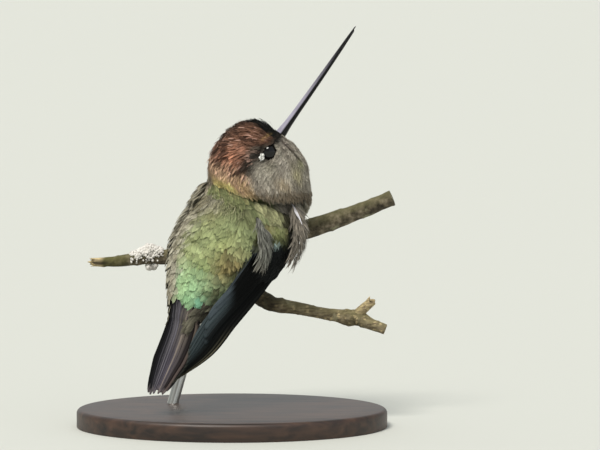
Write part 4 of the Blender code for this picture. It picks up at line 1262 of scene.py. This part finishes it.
def tuft_chart(rows):
    """A chart of a tuft: the first parameter runs from its tip (0) to its root (1), the second
    across it, bowed outwards."""
    rows = np.asarray(rows, float)

    def point_at(along, across):
        path = smooth(rows, (1 - along) * (len(rows) - 1))
        later = smooth(rows, (1 - along) * (len(rows) - 1) + 0.02)
        middle = bird_point(path[..., :3])
        outward = spine_frame(path[..., 0])[3]
        aside = unit(np.cross(unit(bird_point(later[..., :3]) - middle), outward))
        bow = 0.35 * path[..., 3] * across ** 2
        return middle + (across * path[..., 3])[..., None] * aside - bow[..., None] * outward

    chart = make_chart(point_at, (-0.12, -1.2), (1.0, 1.2), (80, 30))
    return face_out(chart, spine_frame(rows[2, 0])[3])


silky = plumage_material("silky_flank_feathers", 5.0, 0.12, 0.7, 0.3)
for name, count, hex_colour, seed, stands_for, quills, rows in TUFTS:
    chance = np.random.default_rng(seed)
    chart = tuft_chart(rows)
    a, b = scatter(count, lambda a, b: 0.5 + a, (0.2, -0.95), (1.0, 0.95), 9)
    length = chance.uniform(*TUFT_LENGTH, count) * (0.55 + 0.55 * a)
    width = chance.uniform(*TUFT_WIDTH, count)
    tint = linear(hex_colour) * chance.uniform(0.35, 1.15, count)[:, None]
    tint = tinge(tint, "7d6a5e", 0.4 * fading(a, 0, 0.5))
    lift, skew = chance.uniform(*TUFT_LIFT, count), chance.normal(0, 0.2, count) + 0.16 * b
    for number, (*quill, white) in enumerate(quills):
        a[number], b[number], length[number], width[number] = quill
        tint[number], lift[number], skew[number] = linear(white), QUILL_LIFT, 0.0
    points, _ = lay_feathers(chart, a, b, length, width, np.full(count, -0.2), lift, skew,
                             TUFT_ROWS, TUFT_COLUMNS, pointed=1.0, fray=0.05, stiff=0.5, seed=102)
    feather_piece(name, points, vane_colours(tint, TUFT_ROWS, TUFT_COLUMNS, 103), chart, a, b,
                  silky, "down_feathers", stands_for)


def loose_layer(name, count, first, last, length, width, rise, skew, seed, tint_at,
                chart=body_chart, root_shade=0.3):
    """A layer of loose feathers over a chart between two corners, each (first parameter,
    degrees), standing out by rise = (least, most) millimetres at the tip."""
    chance = np.random.default_rng(seed)
    a = chance.uniform(first[0], last[0], count)
    b = chance.uniform(first[1], last[1], count) * DEG
    points, worn = lay_feathers(
        chart, a, b, chance.uniform(*length, count), chance.uniform(*width, count),
        np.full(count, 0.2 * rise[0]), chance.uniform(*rise, count),
        skew + chance.normal(0.0, 0.18, count), LOOSE_ROWS, LOOSE_COLUMNS, pointed=0.6, fray=0.07,
        seed=seed + 1)
    tint = tint_at(*worn, read_chart(chart, *worn)[0]) * chance.uniform(0.62, 1.2, count)[:, None]
    tints = vane_colours(tint, LOOSE_ROWS, LOOSE_COLUMNS, seed + 2, root_shade, 0.5)
    feather_piece(name, points, tints, chart, a, b, soft_plumage, "back_feathers")


def markings_within(side, highest=BILL_BASE):
    """The body's own markings, read no further right than side and no further forward than
    highest, so that a layer keeps the colours of the place where it grows."""
    return lambda a, b, p: plumage_colour(np.minimum(a, highest), np.minimum(b, side * DEG), p)


def left_wing_cover(along, across):
    """The surface over the shut left wing: along from past half way down it (0) to the shoulder
    (1), across from its leading side (-pi) to its trailing side (pi)."""
    share = (1 - along) * 0.62
    width = across / np.pi
    dome = (1.0 + 1.6 * between(along, 0.3, 0.6)) * np.cos(width * np.pi * 0.8)
    out = -RIGHT_OUT
    return edge_surface(WING_EDGES["left"], share, 0.5 + 0.62 * width) + (0.4 + dome)[..., None] * out


def neck_side_tint(place, turn, where):
    """Olive grey, with painted shade where it meets the throat, behind the tuft before the wing."""
    olive = tones("959570", "7a7a5b", waves(where, 3.0, 5), -0.5, 0.5)
    return tinge(olive, "2c291d", 0.9 * between(turn / DEG, 72, 86))


# The left flank's feathers lie loose over the shut left wing, pointing outwards, with pale
# frayed tips and dark gaps, and those of the right shoulder over the root of the right wing.
left_cover = face_out(make_chart(left_wing_cover, (0.0, -np.pi), (1.12, np.pi), (80, 60)),
                      -RIGHT_OUT)
for row in (
        ("left_flank_feathers", 620, (4.9, -112), (8.2, -52), (2.6, 3.8), (1.2, 2.0), (0.7, 1.9),
         -0.45, 111, markings_within(-56)),
        ("left_rump_feathers", 420, (3.2, -100), (5.2, -40), (2.4, 3.4), (1.1, 1.8), (0.1, 0.6),
         -0.3, 114, markings_within(-50)),
        ("left_back_feathers", 520, (4.2, -58), (8.0, -22), (2.4, 3.4), (1.1, 1.8), (0.3, 0.8),
         -0.4, 117, plumage_colour),
        ("shoulder_feathers", 330, (4.9, 26), (7.5, 44), (3.6, 4.8), (1.6, 2.3), (1.2, 2.2),
         0.4, 121, markings_within(40)),
        ("left_wing_cover_feathers", 900, (0.12, -150), (1.1, 178), (2.6, 3.8), (1.2, 2.0),
         (0.2, 1.1), 0.3, 131,
         lambda a, b, p: tones("857f6f", "9c9788", waves(p, 2.2, 62), -0.5, 0.6), left_cover, 0.6),
        ("left_shoulder_feathers", 240, (6.9, -88), (8.05, -36), (3.0, 4.2), (1.4, 2.2), (0.8, 2.2),
         -0.5, 134, markings_within(-56, 7.2), body_chart, 0.55),
        ("nape_fringe_feathers", 230, (7.55, -34), (8.0, 36), (2.4, 3.4), (1.5, 2.1), (0.1, 0.7),
         0.1, 137, lambda a, b, p: tones("666b49", "7d7853", a + 0.2 * waves(p, 2.5, 5), 7.4, 7.8),
         body_chart, 0.8),
        ("neck_side_feathers", 170, (7.5, 44), (8.0, 96), (2.8, 3.6), (1.6, 2.2), (0.7, 1.4),
         0.1, 124, neck_side_tint),
        ("undertail_feathers", 380, (2.35, 52), (3.7, 112), (4.6, 7.2), (1.4, 2.3), (-0.1, 0.6),
         0.02, 127, lambda a, b, p: tones("625f52", "4c4840", waves(p, 3.0, 6), -0.5, 0.5))):
    loose_layer(*row)


# ---- Legs and feet ----------------------------------------------------------------------
# Very short legs in grey down, and small black-brown feet: three toes over the branch and one
# under it, scaled in rings, each with a curved black claw.
TOE_SPREAD = (-1.25, 0.0, 1.25)
TOE_RADIUS = 0.42
FRONT_TOE, HIND_TOE = (-8, 150), (-5, -118)     # root and tip in degrees from the branch's top
CLAW_FROM = 0.78                     # the share of a toe at which its claw begins
SOLE_RADIUS = 0.8
TOE_STEPS, TOE_SIDES = 60, 14
LEG_DOWN, DOWN_ROWS, DOWN_COLUMNS = 170, 6, 4
DOWN_DEPTH, DOWN_LENGTH, DOWN_WIDTH = 0.35, (1.2, 2.0), (0.6, 1.0)

scaled_skin, tree, shader = new_material("scaled_foot_skin", Roughness=0.5)
place_node = add_node(tree, "TexCoord")
scales = add_node(tree, "TexVoronoi", inputs={
    "Vector": place_node.outputs["Object"], "Scale": 3300.0}).outputs["Distance"]
dress(tree, shader, ramp(tree, scales, (0.0, "4a403b"), (1.0, "1d1917")), scales, 0.4, 0.0002,
      sunken=True)

share = np.linspace(0, 1, TOE_STEPS)
claw = between(share, CLAW_FROM, CLAW_FROM + 0.04)
knuckle = (1 + 0.10 * np.sin(share * 3 * np.pi * 1.3) ** 2) * (1 + 0.05 * np.abs(np.sin(share * 60)))
claw_size = 0.62 * (1 - share).clip(0.0) ** 0.8 / (1 - CLAW_FROM) ** 0.8
toe_size = TOE_RADIUS * (1.1 - 0.3 * share) * knuckle * (1 - claw) + claw * TOE_RADIUS * claw_size
claw_arch = 0.25 * claw * np.sin(np.pi * (share - CLAW_FROM).clip(0) / (1 - CLAW_FROM))
for side, foot_place in FOOT_PLACES.items():
    row = smooth(BRANCH, np.float64(foot_place))
    middle, reach = row[:3], row[3] + 0.18 + TOE_RADIUS
    sole = middle + np.array([0.0, -0.3, reach + 0.1])
    parts = [many_balls(sole[None], np.array([SOLE_RADIUS]), 20, 14)]
    for spread, (start, end) in [(spread, FRONT_TOE) for spread in TOE_SPREAD] + [(0.3, HIND_TOE)]:
        bend = np.radians(start + (end - start) * share)
        away = reach + claw_arch
        rows = np.stack([middle[0] + spread * (0.25 + 0.75 * share), middle[1] + away * np.sin(bend),
                         middle[2] + away * np.cos(bend), toe_size.clip(0.03)], -1)
        centre, outward, radius, _, _ = tube(rows, TOE_STEPS, TOE_SIDES)
        toe = centre + outward * radius
        parts.append((toe, *closed_tube(toe)))
    points, quads, caps = joined(parts)
    make_piece(f"{side}_foot", points, quads, scaled_skin, "foot_skin", [f"foot_{side}"], caps)

    def leg_surface(along, around, side=side):
        """The outline of a leg's down: along from the ankle (0) to the hip (1), and around."""
        path = smooth(leg_rows(side, DOWN_DEPTH), (1 - along) * 2)
        later = smooth(leg_rows(side, DOWN_DEPTH), (1 - along) * 2 + 0.02)
        axis = unit(later[..., :3] - path[..., :3])
        aside = unit(np.cross(axis, (0.0, 1.0, 0.05)))
        over = np.cross(aside, axis)
        return path[..., :3] + path[..., 3:] * (np.cos(around)[..., None] * over
                                                - np.sin(around)[..., None] * aside)

    leg_chart = make_chart(leg_surface, (-0.1, -np.pi - 0.5), (1.0, np.pi + 0.5), (40, 60))
    face_out(leg_chart, leg_chart["table"][20, 30, :3] - np.array(leg_rows(side)[1][:3]))
    count = LEG_DOWN
    chance = np.random.default_rng(121)
    a, b = scatter(count, lambda a, b: 1 + a, (0.12, -np.pi), (1.0, np.pi), 4)
    down, _ = lay_feathers(leg_chart, a, b, chance.uniform(*DOWN_LENGTH, count),
                           chance.uniform(*DOWN_WIDTH, count), np.full(count, -0.3),
                           chance.uniform(0.0, 0.3, count), chance.normal(0, 0.2, count),
                           DOWN_ROWS, DOWN_COLUMNS, pointed=0.6, seed=122)
    tint = linear("a39c90") * chance.uniform(0.7, 1.15, count)[:, None]
    feather_piece(f"{side}_leg_down", down, vane_colours(tint, DOWN_ROWS, DOWN_COLUMNS, 123),
                  leg_chart, a, b, silky, "down_feathers")


# ---- Tail -------------------------------------------------------------------------------
# Ten stiff tail feathers, folded over each other with the middle pair on top. Each is a dark
# vane on its shaft, with a worn, paler tip. The lists run from the bird's left to its right.
TAIL_START = 3.45
RECTRIX_ENDS = (0.985, 0.96, 1.0, 0.97, 0.99, 0.955, 0.98, 0.965, 0.975, 0.94)
TAIL_HALF_WIDTHS = (3.1, 4.5, 3.4)   # at the tip, the middle and the root
TAIL_WIDTH_PLACES = (0, 1, 2.85)
TAIL_ARCH = 0.9
TAIL_JOINS_RUMP = (1.55, 2.15)       # spine places between which it settles on the rump
# The eighth feather from the left is near black in all its tones: painted shadow where the right
# wing's tip lies over the tail.
TAIL_BASES = "0b0c0d 0f0f11 19191c 29292d 4d4b50 5a5552 5b544e 221f1f 5a514a 2b2927"
TAIL_VANES = "0b0c0d 0d0d0f 151518 232327 35333a 4b4750 4c474a 2a2526 544a47 201f20"
TAIL_SHAFTS = "161715 2a2a29 605e63 6d6a70 6a6770 35333a 8a8078 2a2627 6a605a 1b1a1b"
TAIL_EDGES = "1c1d1b 121214 1b1b1f 55525a 2d2b31 514d54 211f21 1c191a 463f3d 1b1a1b"
QUILL_ROWS, QUILL_COLUMNS = 40, 9
QUILL_THICKNESS, SHAFT_RIDGE = 0.09, 0.16


def quill_profile(share, blunt=12.0):
    """Half width of a flight feather over its length, as a share of its widest: narrow at the
    base, full from a third on, and rounded at the end."""
    opening = 0.35 + 0.65 * between(share, 0.0, 0.4)
    return opening * np.sqrt(np.clip(1 - np.minimum(share, 0.996) ** blunt, 0, 1))


def quill_mesh(path, outward, left, right):
    """Closed vanes on shafts: an upper and a lower sheet joined at the rim, with a ridge along
    the shaft. Returns points (feather, side, row, column) and quads."""
    upper, _ = spread_vane(path, outward, left, right, QUILL_COLUMNS, 0.12)
    ridge = SHAFT_RIDGE * np.exp(-(np.linspace(-1, 1, QUILL_COLUMNS) / 0.12) ** 2)
    upper = upper + (QUILL_THICKNESS / 2 + ridge)[None, None, :, None] * outward[:, :, None]
    lower = upper - (QUILL_THICKNESS + 1.6 * ridge)[None, None, :, None] * outward[:, :, None]
    count, rows, columns = upper.shape[:3]
    quads = copies(closed_sheet(rows, columns)[:, ::-1], count, 2 * rows * columns)
    return np.stack([upper, lower], axis=1), quads


def quill_layers(*tone_lists, tip, seed, change=(0.5, 0.75)):
    """Markings, vane map and bake map of flight feathers. The lists give each feather a vane
    colour for its base and for its end, a shaft colour for each, and a worn edge colour. The
    change from base to end lies between two shares of its length, and the tip is pale."""
    base, end, base_shaft, end_shaft, edge = (
        np.stack([linear(tone) for tone in row.split()])[:, None, None] for row in tone_lists)
    rows, columns, count = QUILL_ROWS, QUILL_COLUMNS, len(base)
    along = np.linspace(0, 1, rows)[None, :, None]
    share = np.linspace(-1, 1, columns)[None, None]
    later = between(along, *change) + 0 * share + np.zeros((count, 1, 1))
    banding = waves(np.stack(np.broadcast_arrays(
        along * 9, share * 2, np.arange(count)[:, None, None] * 3.1), -1), 2.0, seed)
    tint = mix(base, end, later) * (1 + 0.10 * banding)[..., None]
    tint = mix(tint, edge, 0.7 * between(np.abs(share), 0.8, 1.0) + 0 * later)
    tint = tinge(tint, tip, 0.75 * between(along, 0.955, 0.985) + 0 * later)
    on_shaft = np.exp(-(share / 0.09) ** 2) * 0.85 + 0 * later
    tint = mix(tint, mix(base_shaft, end_shaft, later), on_shaft)
    tint = np.clip(np.stack([tint, tint * 0.8], axis=1), 0, 1)
    across, length = np.meshgrid(np.linspace(0, 1, columns), np.linspace(0, 1, rows))
    vane = np.broadcast_to(np.stack([across, length], -1), (count, 2, rows, columns, 2))
    number = np.arange(count)[:, None, None, None, None]
    under = np.array([0.0, 0.5])[None, :, None, None, None]
    bake = np.concatenate([(vane[..., :1] * 0.9 + number + 0.05) / count,
                           vane[..., 1:] * 0.45 + under + 0.02], axis=-1)
    return {"markings": tint, "vane": vane, "OFBake": bake}


# Flight feathers: smooth, with barbs 0.5 to 1 mm apart as drawn and a dull silky gloss.
quill_vanes = plumage_material("flight_feather_vanes", 60.0, 0.0, 0.6, 0.05)

# Each tail feather runs up its own strip of the tail's width and on over the rump, the middle
# ones lying highest, and reaches further inwards than outwards from its shaft.
count = len(RECTRIX_ENDS)
share = np.linspace(0, 1, QUILL_ROWS)[None]
middle = ((np.arange(count) + 0.5) / count * 2 - 1)[:, None]
places = TAIL_START * (1 - share * np.array(RECTRIX_ENDS)[:, None])
half_width = np.interp(places, TAIL_WIDTH_PLACES, TAIL_HALF_WIDTHS)
half_width = half_width * (1 + 0.4 * np.exp(-((places - 1.6) / 0.6) ** 2) * (middle > 0))
stack = 1 - np.abs(middle)
height = TAIL_ARCH * (1 - middle ** 2) + 0.16 + 0.22 * stack
path = bird_point(np.stack([places, half_width * middle * 0.82, height + 0 * places], -1))
on_rump, _, _, rump_out = read_chart(body_chart, np.maximum(places, TAIL_ROOT + 0.02),
                                     72 * DEG * middle + 0 * places)
on_rump = on_rump + (0.05 + 0.22 * stack - 0.9 * between(places, 2.7, 3.3))[..., None] * rump_out
path = mix(path, on_rump, between(places, *TAIL_JOINS_RUMP))
_, _, back, _ = spine_frame(places)
back = unit(mix(back, rump_out, between(places, *TAIL_JOINS_RUMP)))
profile = quill_profile(share)
outer_reach = half_width * (0.17 + 0.05 * np.abs(middle)) * profile
inner_reach = half_width * 0.36 * profile
left = np.where(middle < 0, inner_reach, outer_reach)
right = np.where(middle < 0, outer_reach, inner_reach)
points, quads = quill_mesh(path, back, left, right)
make_piece("tail_feathers", points, quads, quill_vanes, "tail_feathers", ["tail"],
           layers=quill_layers(TAIL_BASES, TAIL_VANES, TAIL_SHAFTS, TAIL_SHAFTS, TAIL_EDGES,
                               tip="6f686b", seed=71))


# ---- Wings ------------------------------------------------------------------------------
# Long narrow flight feathers folded into a stack, the longest at the leading edge, with the
# shorter secondaries lying over their bases and small coverts over the arm.
PRIMARY_ENDS = (1.0, 0.985, 0.965, 0.94, 0.91, 0.88, 0.85, 0.82, 0.78)
SECONDARY_ENDS = (0.74, 0.7, 0.645, 0.58, 0.5)
SECONDARY_SPAN = (0.45, 1.1)
SECONDARY_LIFT = 1.15
COVERTS, COVERT_ROWS, COVERT_COLUMNS = 520, 7, 7
COVERT_LENGTH, COVERT_WIDTH = (2.2, 3.2), (1.5, 2.2)
# Leading feathers first: black over the bases, slate towards the body, and the two longest
# drab at the end, with pale shafts. Vanes and shafts at base and end, then worn edges.
PRIMARY_TONES = (
    "0d0f0e 0b0c0c 0b0c0c 0d0f10 131617 1b1f20 202425 242828 262a2a",
    "121411 131511 0d0f0e 0d0f0f 1a1f20 2c3336 394245 3e474a 3e474a",
    "1a1b1a 0f1010 0f1010 111313 151819 14191b 171c1f 191e21 1a2022",
    "77715f 4a473c 131413 111212 161919 1a1f20 1c2224 1e2426 1e2426",
    "141514 0e0f0f 0d0e0e 111313 1f2426 2c3336 343c3f 394245 3b4447")
SECONDARY_TONES = (
    "0b0c0c 0c0d0d 0d0e0e 0f1010 111212", "141718 30373a 40494d 464f55 4a5359",
    "0b0c0c 0c0d0d 0d0e0e 0f1010 111212", "121415 2a3033 394245 3f484d 424b51",
    "141718 2f3639 40494d 454e54 495258")


def wing_quills(side, ends, span, lift, start):
    """Centre lines, outward directions and reaches of one stack of folded feathers."""
    edges = WING_EDGES[side]
    out = RIGHT_OUT * SIDES[side]
    count = len(ends)
    along = np.linspace(0, 1, QUILL_ROWS)[None]
    number = np.arange(count)[:, None]
    across = span[0] + (span[1] - span[0]) * (number + 0.5) / count
    share = start + along * (np.array(ends)[:, None] - start)
    across = np.broadcast_to(across, share.shape)
    middle = edge_surface(edges, share, across)
    ahead = edge_surface(edges, share + 0.01, across)
    beside = edge_surface(edges, share, across + 0.01)
    normal = unit(np.cross(ahead - middle, beside - middle))
    normal = normal * np.sign(np.sum(normal * out, -1))[..., None]
    pitch = np.linalg.norm(beside - middle, axis=-1) / 0.01 * (span[1] - span[0]) / count
    settle = 1 - 0.62 * along ** 1.5
    path = middle + normal * (lift * settle + 0.25 + 0.05 * number)[..., None]
    profile = quill_profile(along, 9.0)
    lead_reach = pitch * 0.55 * profile
    trail_reach = np.maximum(pitch * 1.5, 0.5) * profile
    trail_reach[-1] = pitch[-1] * 0.5 * profile[0]
    left, right = (lead_reach, trail_reach) if side == "left" else (trail_reach, lead_reach)
    return path, normal, left, right


for side in SIDES:
    for group, ends, span, lift, layers in (
            ("primaries", PRIMARY_ENDS, (0.0, 1.0), 0.0,
             quill_layers(*PRIMARY_TONES, tip="3b3c36", seed=81)),
            ("secondaries", SECONDARY_ENDS, SECONDARY_SPAN, SECONDARY_LIFT,
             quill_layers(*SECONDARY_TONES, tip="394246", seed=82, change=(0.52, 0.7)))):
        points, quads = quill_mesh(*wing_quills(side, ends, span, lift, COVERTS_END * 0.6))
        make_piece(f"{side}_{group}", points, quads, quill_vanes, "flight_feathers",
                   [f"wing_{side}_{group}"], layers=layers)

# The lesser and median coverts: small tile-like feathers over the folded arm, olive at the
# shoulder and black further down, with one pale bluish spot painted on as a highlight. The left
# wing's are plain taupe.
for side, sign in SIDES.items():
    def covert_point(length, width, side=side):
        """The outline of the coverts, a little over the arm's own surface."""
        return arm_point(side, length, width, 0.3)

    chart = make_chart(covert_point, (-0.15, -1.0), (1.0, 1.0), (60, 60))
    face_out(chart, RIGHT_OUT * sign)
    number = COVERTS
    chance = np.random.default_rng(91)
    a, b = scatter(number, lambda a, b: 1 + 0 * a, (0.05, -0.98), (1.0, 0.98), 5)
    length = chance.uniform(*COVERT_LENGTH, number) + 1.2 * (1 - a)
    width = chance.uniform(*COVERT_WIDTH, number) + 0.5 * (1 - a)
    start, _, _, _ = read_chart(chart, a, b)
    tint = tones("6e724b", "82865f", waves(start, 2.5, 92), -0.5, 0.6)
    tint = tinge(tint, "97875f", 0.5 * between(waves(start, 5.0, 93), -0.2, 0.6))
    tint = mix(tint, tint * 0.42, fading(a, 0.82, 0.94))
    tint = tinge(tint, "1d1b13", 0.92 * between(b, 0.42, 0.7))
    tint = mix(tint, tones("0d0f0f", "4b4f42", -b, 0.35, 0.8), fading(a, 0.68, 0.76))
    if side == "left":
        tint = np.broadcast_to(linear("857f6f"), tint.shape)
    # Painted highlight: one pale bluish spot on the coverts.
    painted_glint = np.exp(-((a - 0.74) / 0.035) ** 2 - ((b + 0.1) / 0.12) ** 2)
    tint = tinge(tint, "a3b9b9", 0.9 * painted_glint) * (1 + chance.normal(0, 0.12, number))[:, None]
    points, _ = lay_feathers(chart, a, b, length, width, np.full(number, -0.5),
                             np.full(number, 0.15) + chance.normal(0, 0.06, number),
                             chance.normal(0, 0.1, number), COVERT_ROWS, COVERT_COLUMNS, seed=94)
    feather_piece(f"{side}_coverts", points, vane_colours(tint, COVERT_ROWS, COVERT_COLUMNS, 95),
                  chart, a, b, soft_plumage, "covert_feathers", [f"wing_{side}_coverts"])


# ---- Bill -------------------------------------------------------------------------------
# A long straight bill of black horn over bone, its tip turned up a little. The upper half is
# slightly longer, and a fine mouth line parts the two. A pale lavender band along the top of the
# upper half is painted highlight.
BILL_LENGTH = 35.0
BILL_UPTURN = 0.5
BILL_HEIGHT = ((0, 2.9), (0.06, 2.3), (0.2, 1.85), (0.5, 1.5), (0.75, 1.15), (0.93, 0.8), (1, 0.5))
BILL_WIDTH_RATIO = 1.1
LOWER_BILL_SHARE = 0.97
BILL_ROWS, BILL_SIDES = 160, 40
GAPE = 0.06                          # half of the gap at the mouth line

base, along, back, right = spine_frame(np.float64(BILL_BASE))
heights = np.array(BILL_HEIGHT)      # share of the length, height there

# Horn: dense keratin, worn smooth by use, nearly black with a satin gloss and faint growth
# lines along it.
horn, tree, shader = new_material("black_bill_horn", Roughness=0.3, IOR=1.5, Specular_IOR_Level=0.25)
marks = add_node(tree, "VertexColor", {"layer_name": "markings"})
lines = noise(tree, 500.0, Detail=4.0)
tone = ramp(tree, lines, (0.0, "c8c8c8"), (1.0, "ffffff"))
dress(tree, shader, blend(tree, 1.0, marks.outputs["Color"], tone, "MULTIPLY"), lines, 0.15, 0.0002)

for name, node, sign, reach in (("upper_bill", "bill_upper", 1, 1.0),
                                ("lower_bill", "bill_lower", -1, LOWER_BILL_SHARE)):
    share = np.concatenate([np.linspace(-0.03, 0.985, BILL_ROWS - 6) * reach,
                            reach * (1 - 0.015 * np.linspace(0.8, 0, 6) ** 2)])
    height = np.interp(np.clip(share, 0, 1), heights[:, 0], heights[:, 1])
    height = np.convolve(np.pad(height, 6, "edge"), np.ones(13) / 13, "valid")
    blunt = np.sqrt(np.clip(1 - ((share / reach - 0.985) / 0.0152).clip(0, 1) ** 2, 0.02, 1))
    rise = BILL_UPTURN * share.clip(0) ** 2
    axis = base + (share * BILL_LENGTH)[:, None] * along + rise[:, None] * back
    arc = np.linspace(-np.pi / 2, np.pi / 2, BILL_SIDES // 2)
    flat = np.linspace(1, -1, BILL_SIDES // 2 + 2)[1:-1]
    outer_deep = GAPE + (height / 2 - GAPE)[:, None] * np.cos(arc) ** 0.9 * blunt[:, None]
    inner_deep = np.full((BILL_ROWS, len(flat)), GAPE)
    outer_wide = (BILL_WIDTH_RATIO * height / 2)[:, None] * np.sin(arc) * blunt[:, None]
    inner_wide = (BILL_WIDTH_RATIO * height / 2 * blunt)[:, None] * flat
    deep = np.concatenate([outer_deep, inner_deep], axis=1)
    wide = np.concatenate([outer_wide, inner_wide], axis=1)
    rings = axis[:, None] + sign * deep[..., None] * back + wide[..., None] * right
    quads, caps = closed_tube(rings)
    if sign > 0:
        quads, caps = quads[:, ::-1], [cap[::-1] for cap in caps]
    # Painted highlight: a pale lavender band along the top of the upper half, fading towards the tip.
    ridge = np.concatenate([between(np.cos(arc), 0.15, 0.45), 0 * flat]) * (sign > 0)
    tint = mix(linear("060607"), linear("aaa6b8"), ridge * fading(share, 0.1, 0.85)[:, None])
    make_piece(name, rings, quads, horn, "bill_horn", [node], caps, {"markings": tint})


# ---- Eyes -------------------------------------------------------------------------------
# Large dark eyes, wet and almost black. A thin ring of bare, blackish, wrinkled lid skin
# holds each one and runs in under the tiny feathers round it.
LID_RISE = 0.16
LID_REACH = 2.8
LID_SIDES, LID_RINGS = 64, 9

wet_eye, _, _ = new_material("wet_eye", Roughness=0.02, IOR=1.42, Specular_IOR_Level=0.5,
                             Base_Color=rgba("030202"))
lid_skin, tree, shader = new_material("bare_lid_skin", Roughness=0.6, Specular_IOR_Level=0.1)
wrinkle = noise(tree, 2500.0, Detail=3.0)
dress(tree, shader, ramp(tree, wrinkle, (0.0, "080706"), (1.0, "151210")), wrinkle, 0.5, 0.0002)

ball = ball_points(48, 32)
turn = np.linspace(0, 2 * np.pi, LID_SIDES, endpoint=False)
opening = lid_radius(turn)
spread = np.linspace(0, 1, LID_RINGS)[:, None]
radius = opening + (LID_REACH - opening) * spread
on_ball = np.sqrt(np.clip(EYE_RADIUS ** 2 - np.minimum(radius, EYE_RADIUS - 0.05) ** 2, 0, None))
level = on_ball + LID_RISE * np.sin(np.pi * np.clip(spread * 2.2 + 0.15, 0, 1)) + 0.02
level = np.maximum(level, 0.35 - 0.6 * spread)
for name, (out, fore, up) in eye_axes.items():
    centre = eye_centres[name]
    rings = centre + EYE_RADIUS * (ball[..., 2:3] * out + ball[..., 0:1] * fore + ball[..., 1:2] * up)
    quads, caps = closed_tube(rings)
    make_piece(f"{name}_eyeball", rings, quads[:, ::-1], wet_eye, "eye_gloss", [f"eye_{name}"],
               [cap[::-1] for cap in caps])
    radial = np.cos(turn)[:, None] * fore + np.sin(turn)[:, None] * up
    tuck = centre + (opening * 0.98)[None, :, None] * radial + (on_ball[0] - 0.2)[None, :, None] * out
    lid = np.concatenate([tuck, centre + radius[..., None] * radial + level[..., None] * out])
    quads = grid_quads(len(lid), LID_SIDES, wrap=True)
    if np.sum(np.cross(lid[5, 1] - lid[5, 0], lid[6, 0] - lid[5, 0]) * out) <= 0:
        quads = quads[:, ::-1]
    make_piece(f"{name}_lid", lid, quads, lid_skin, "foot_skin")
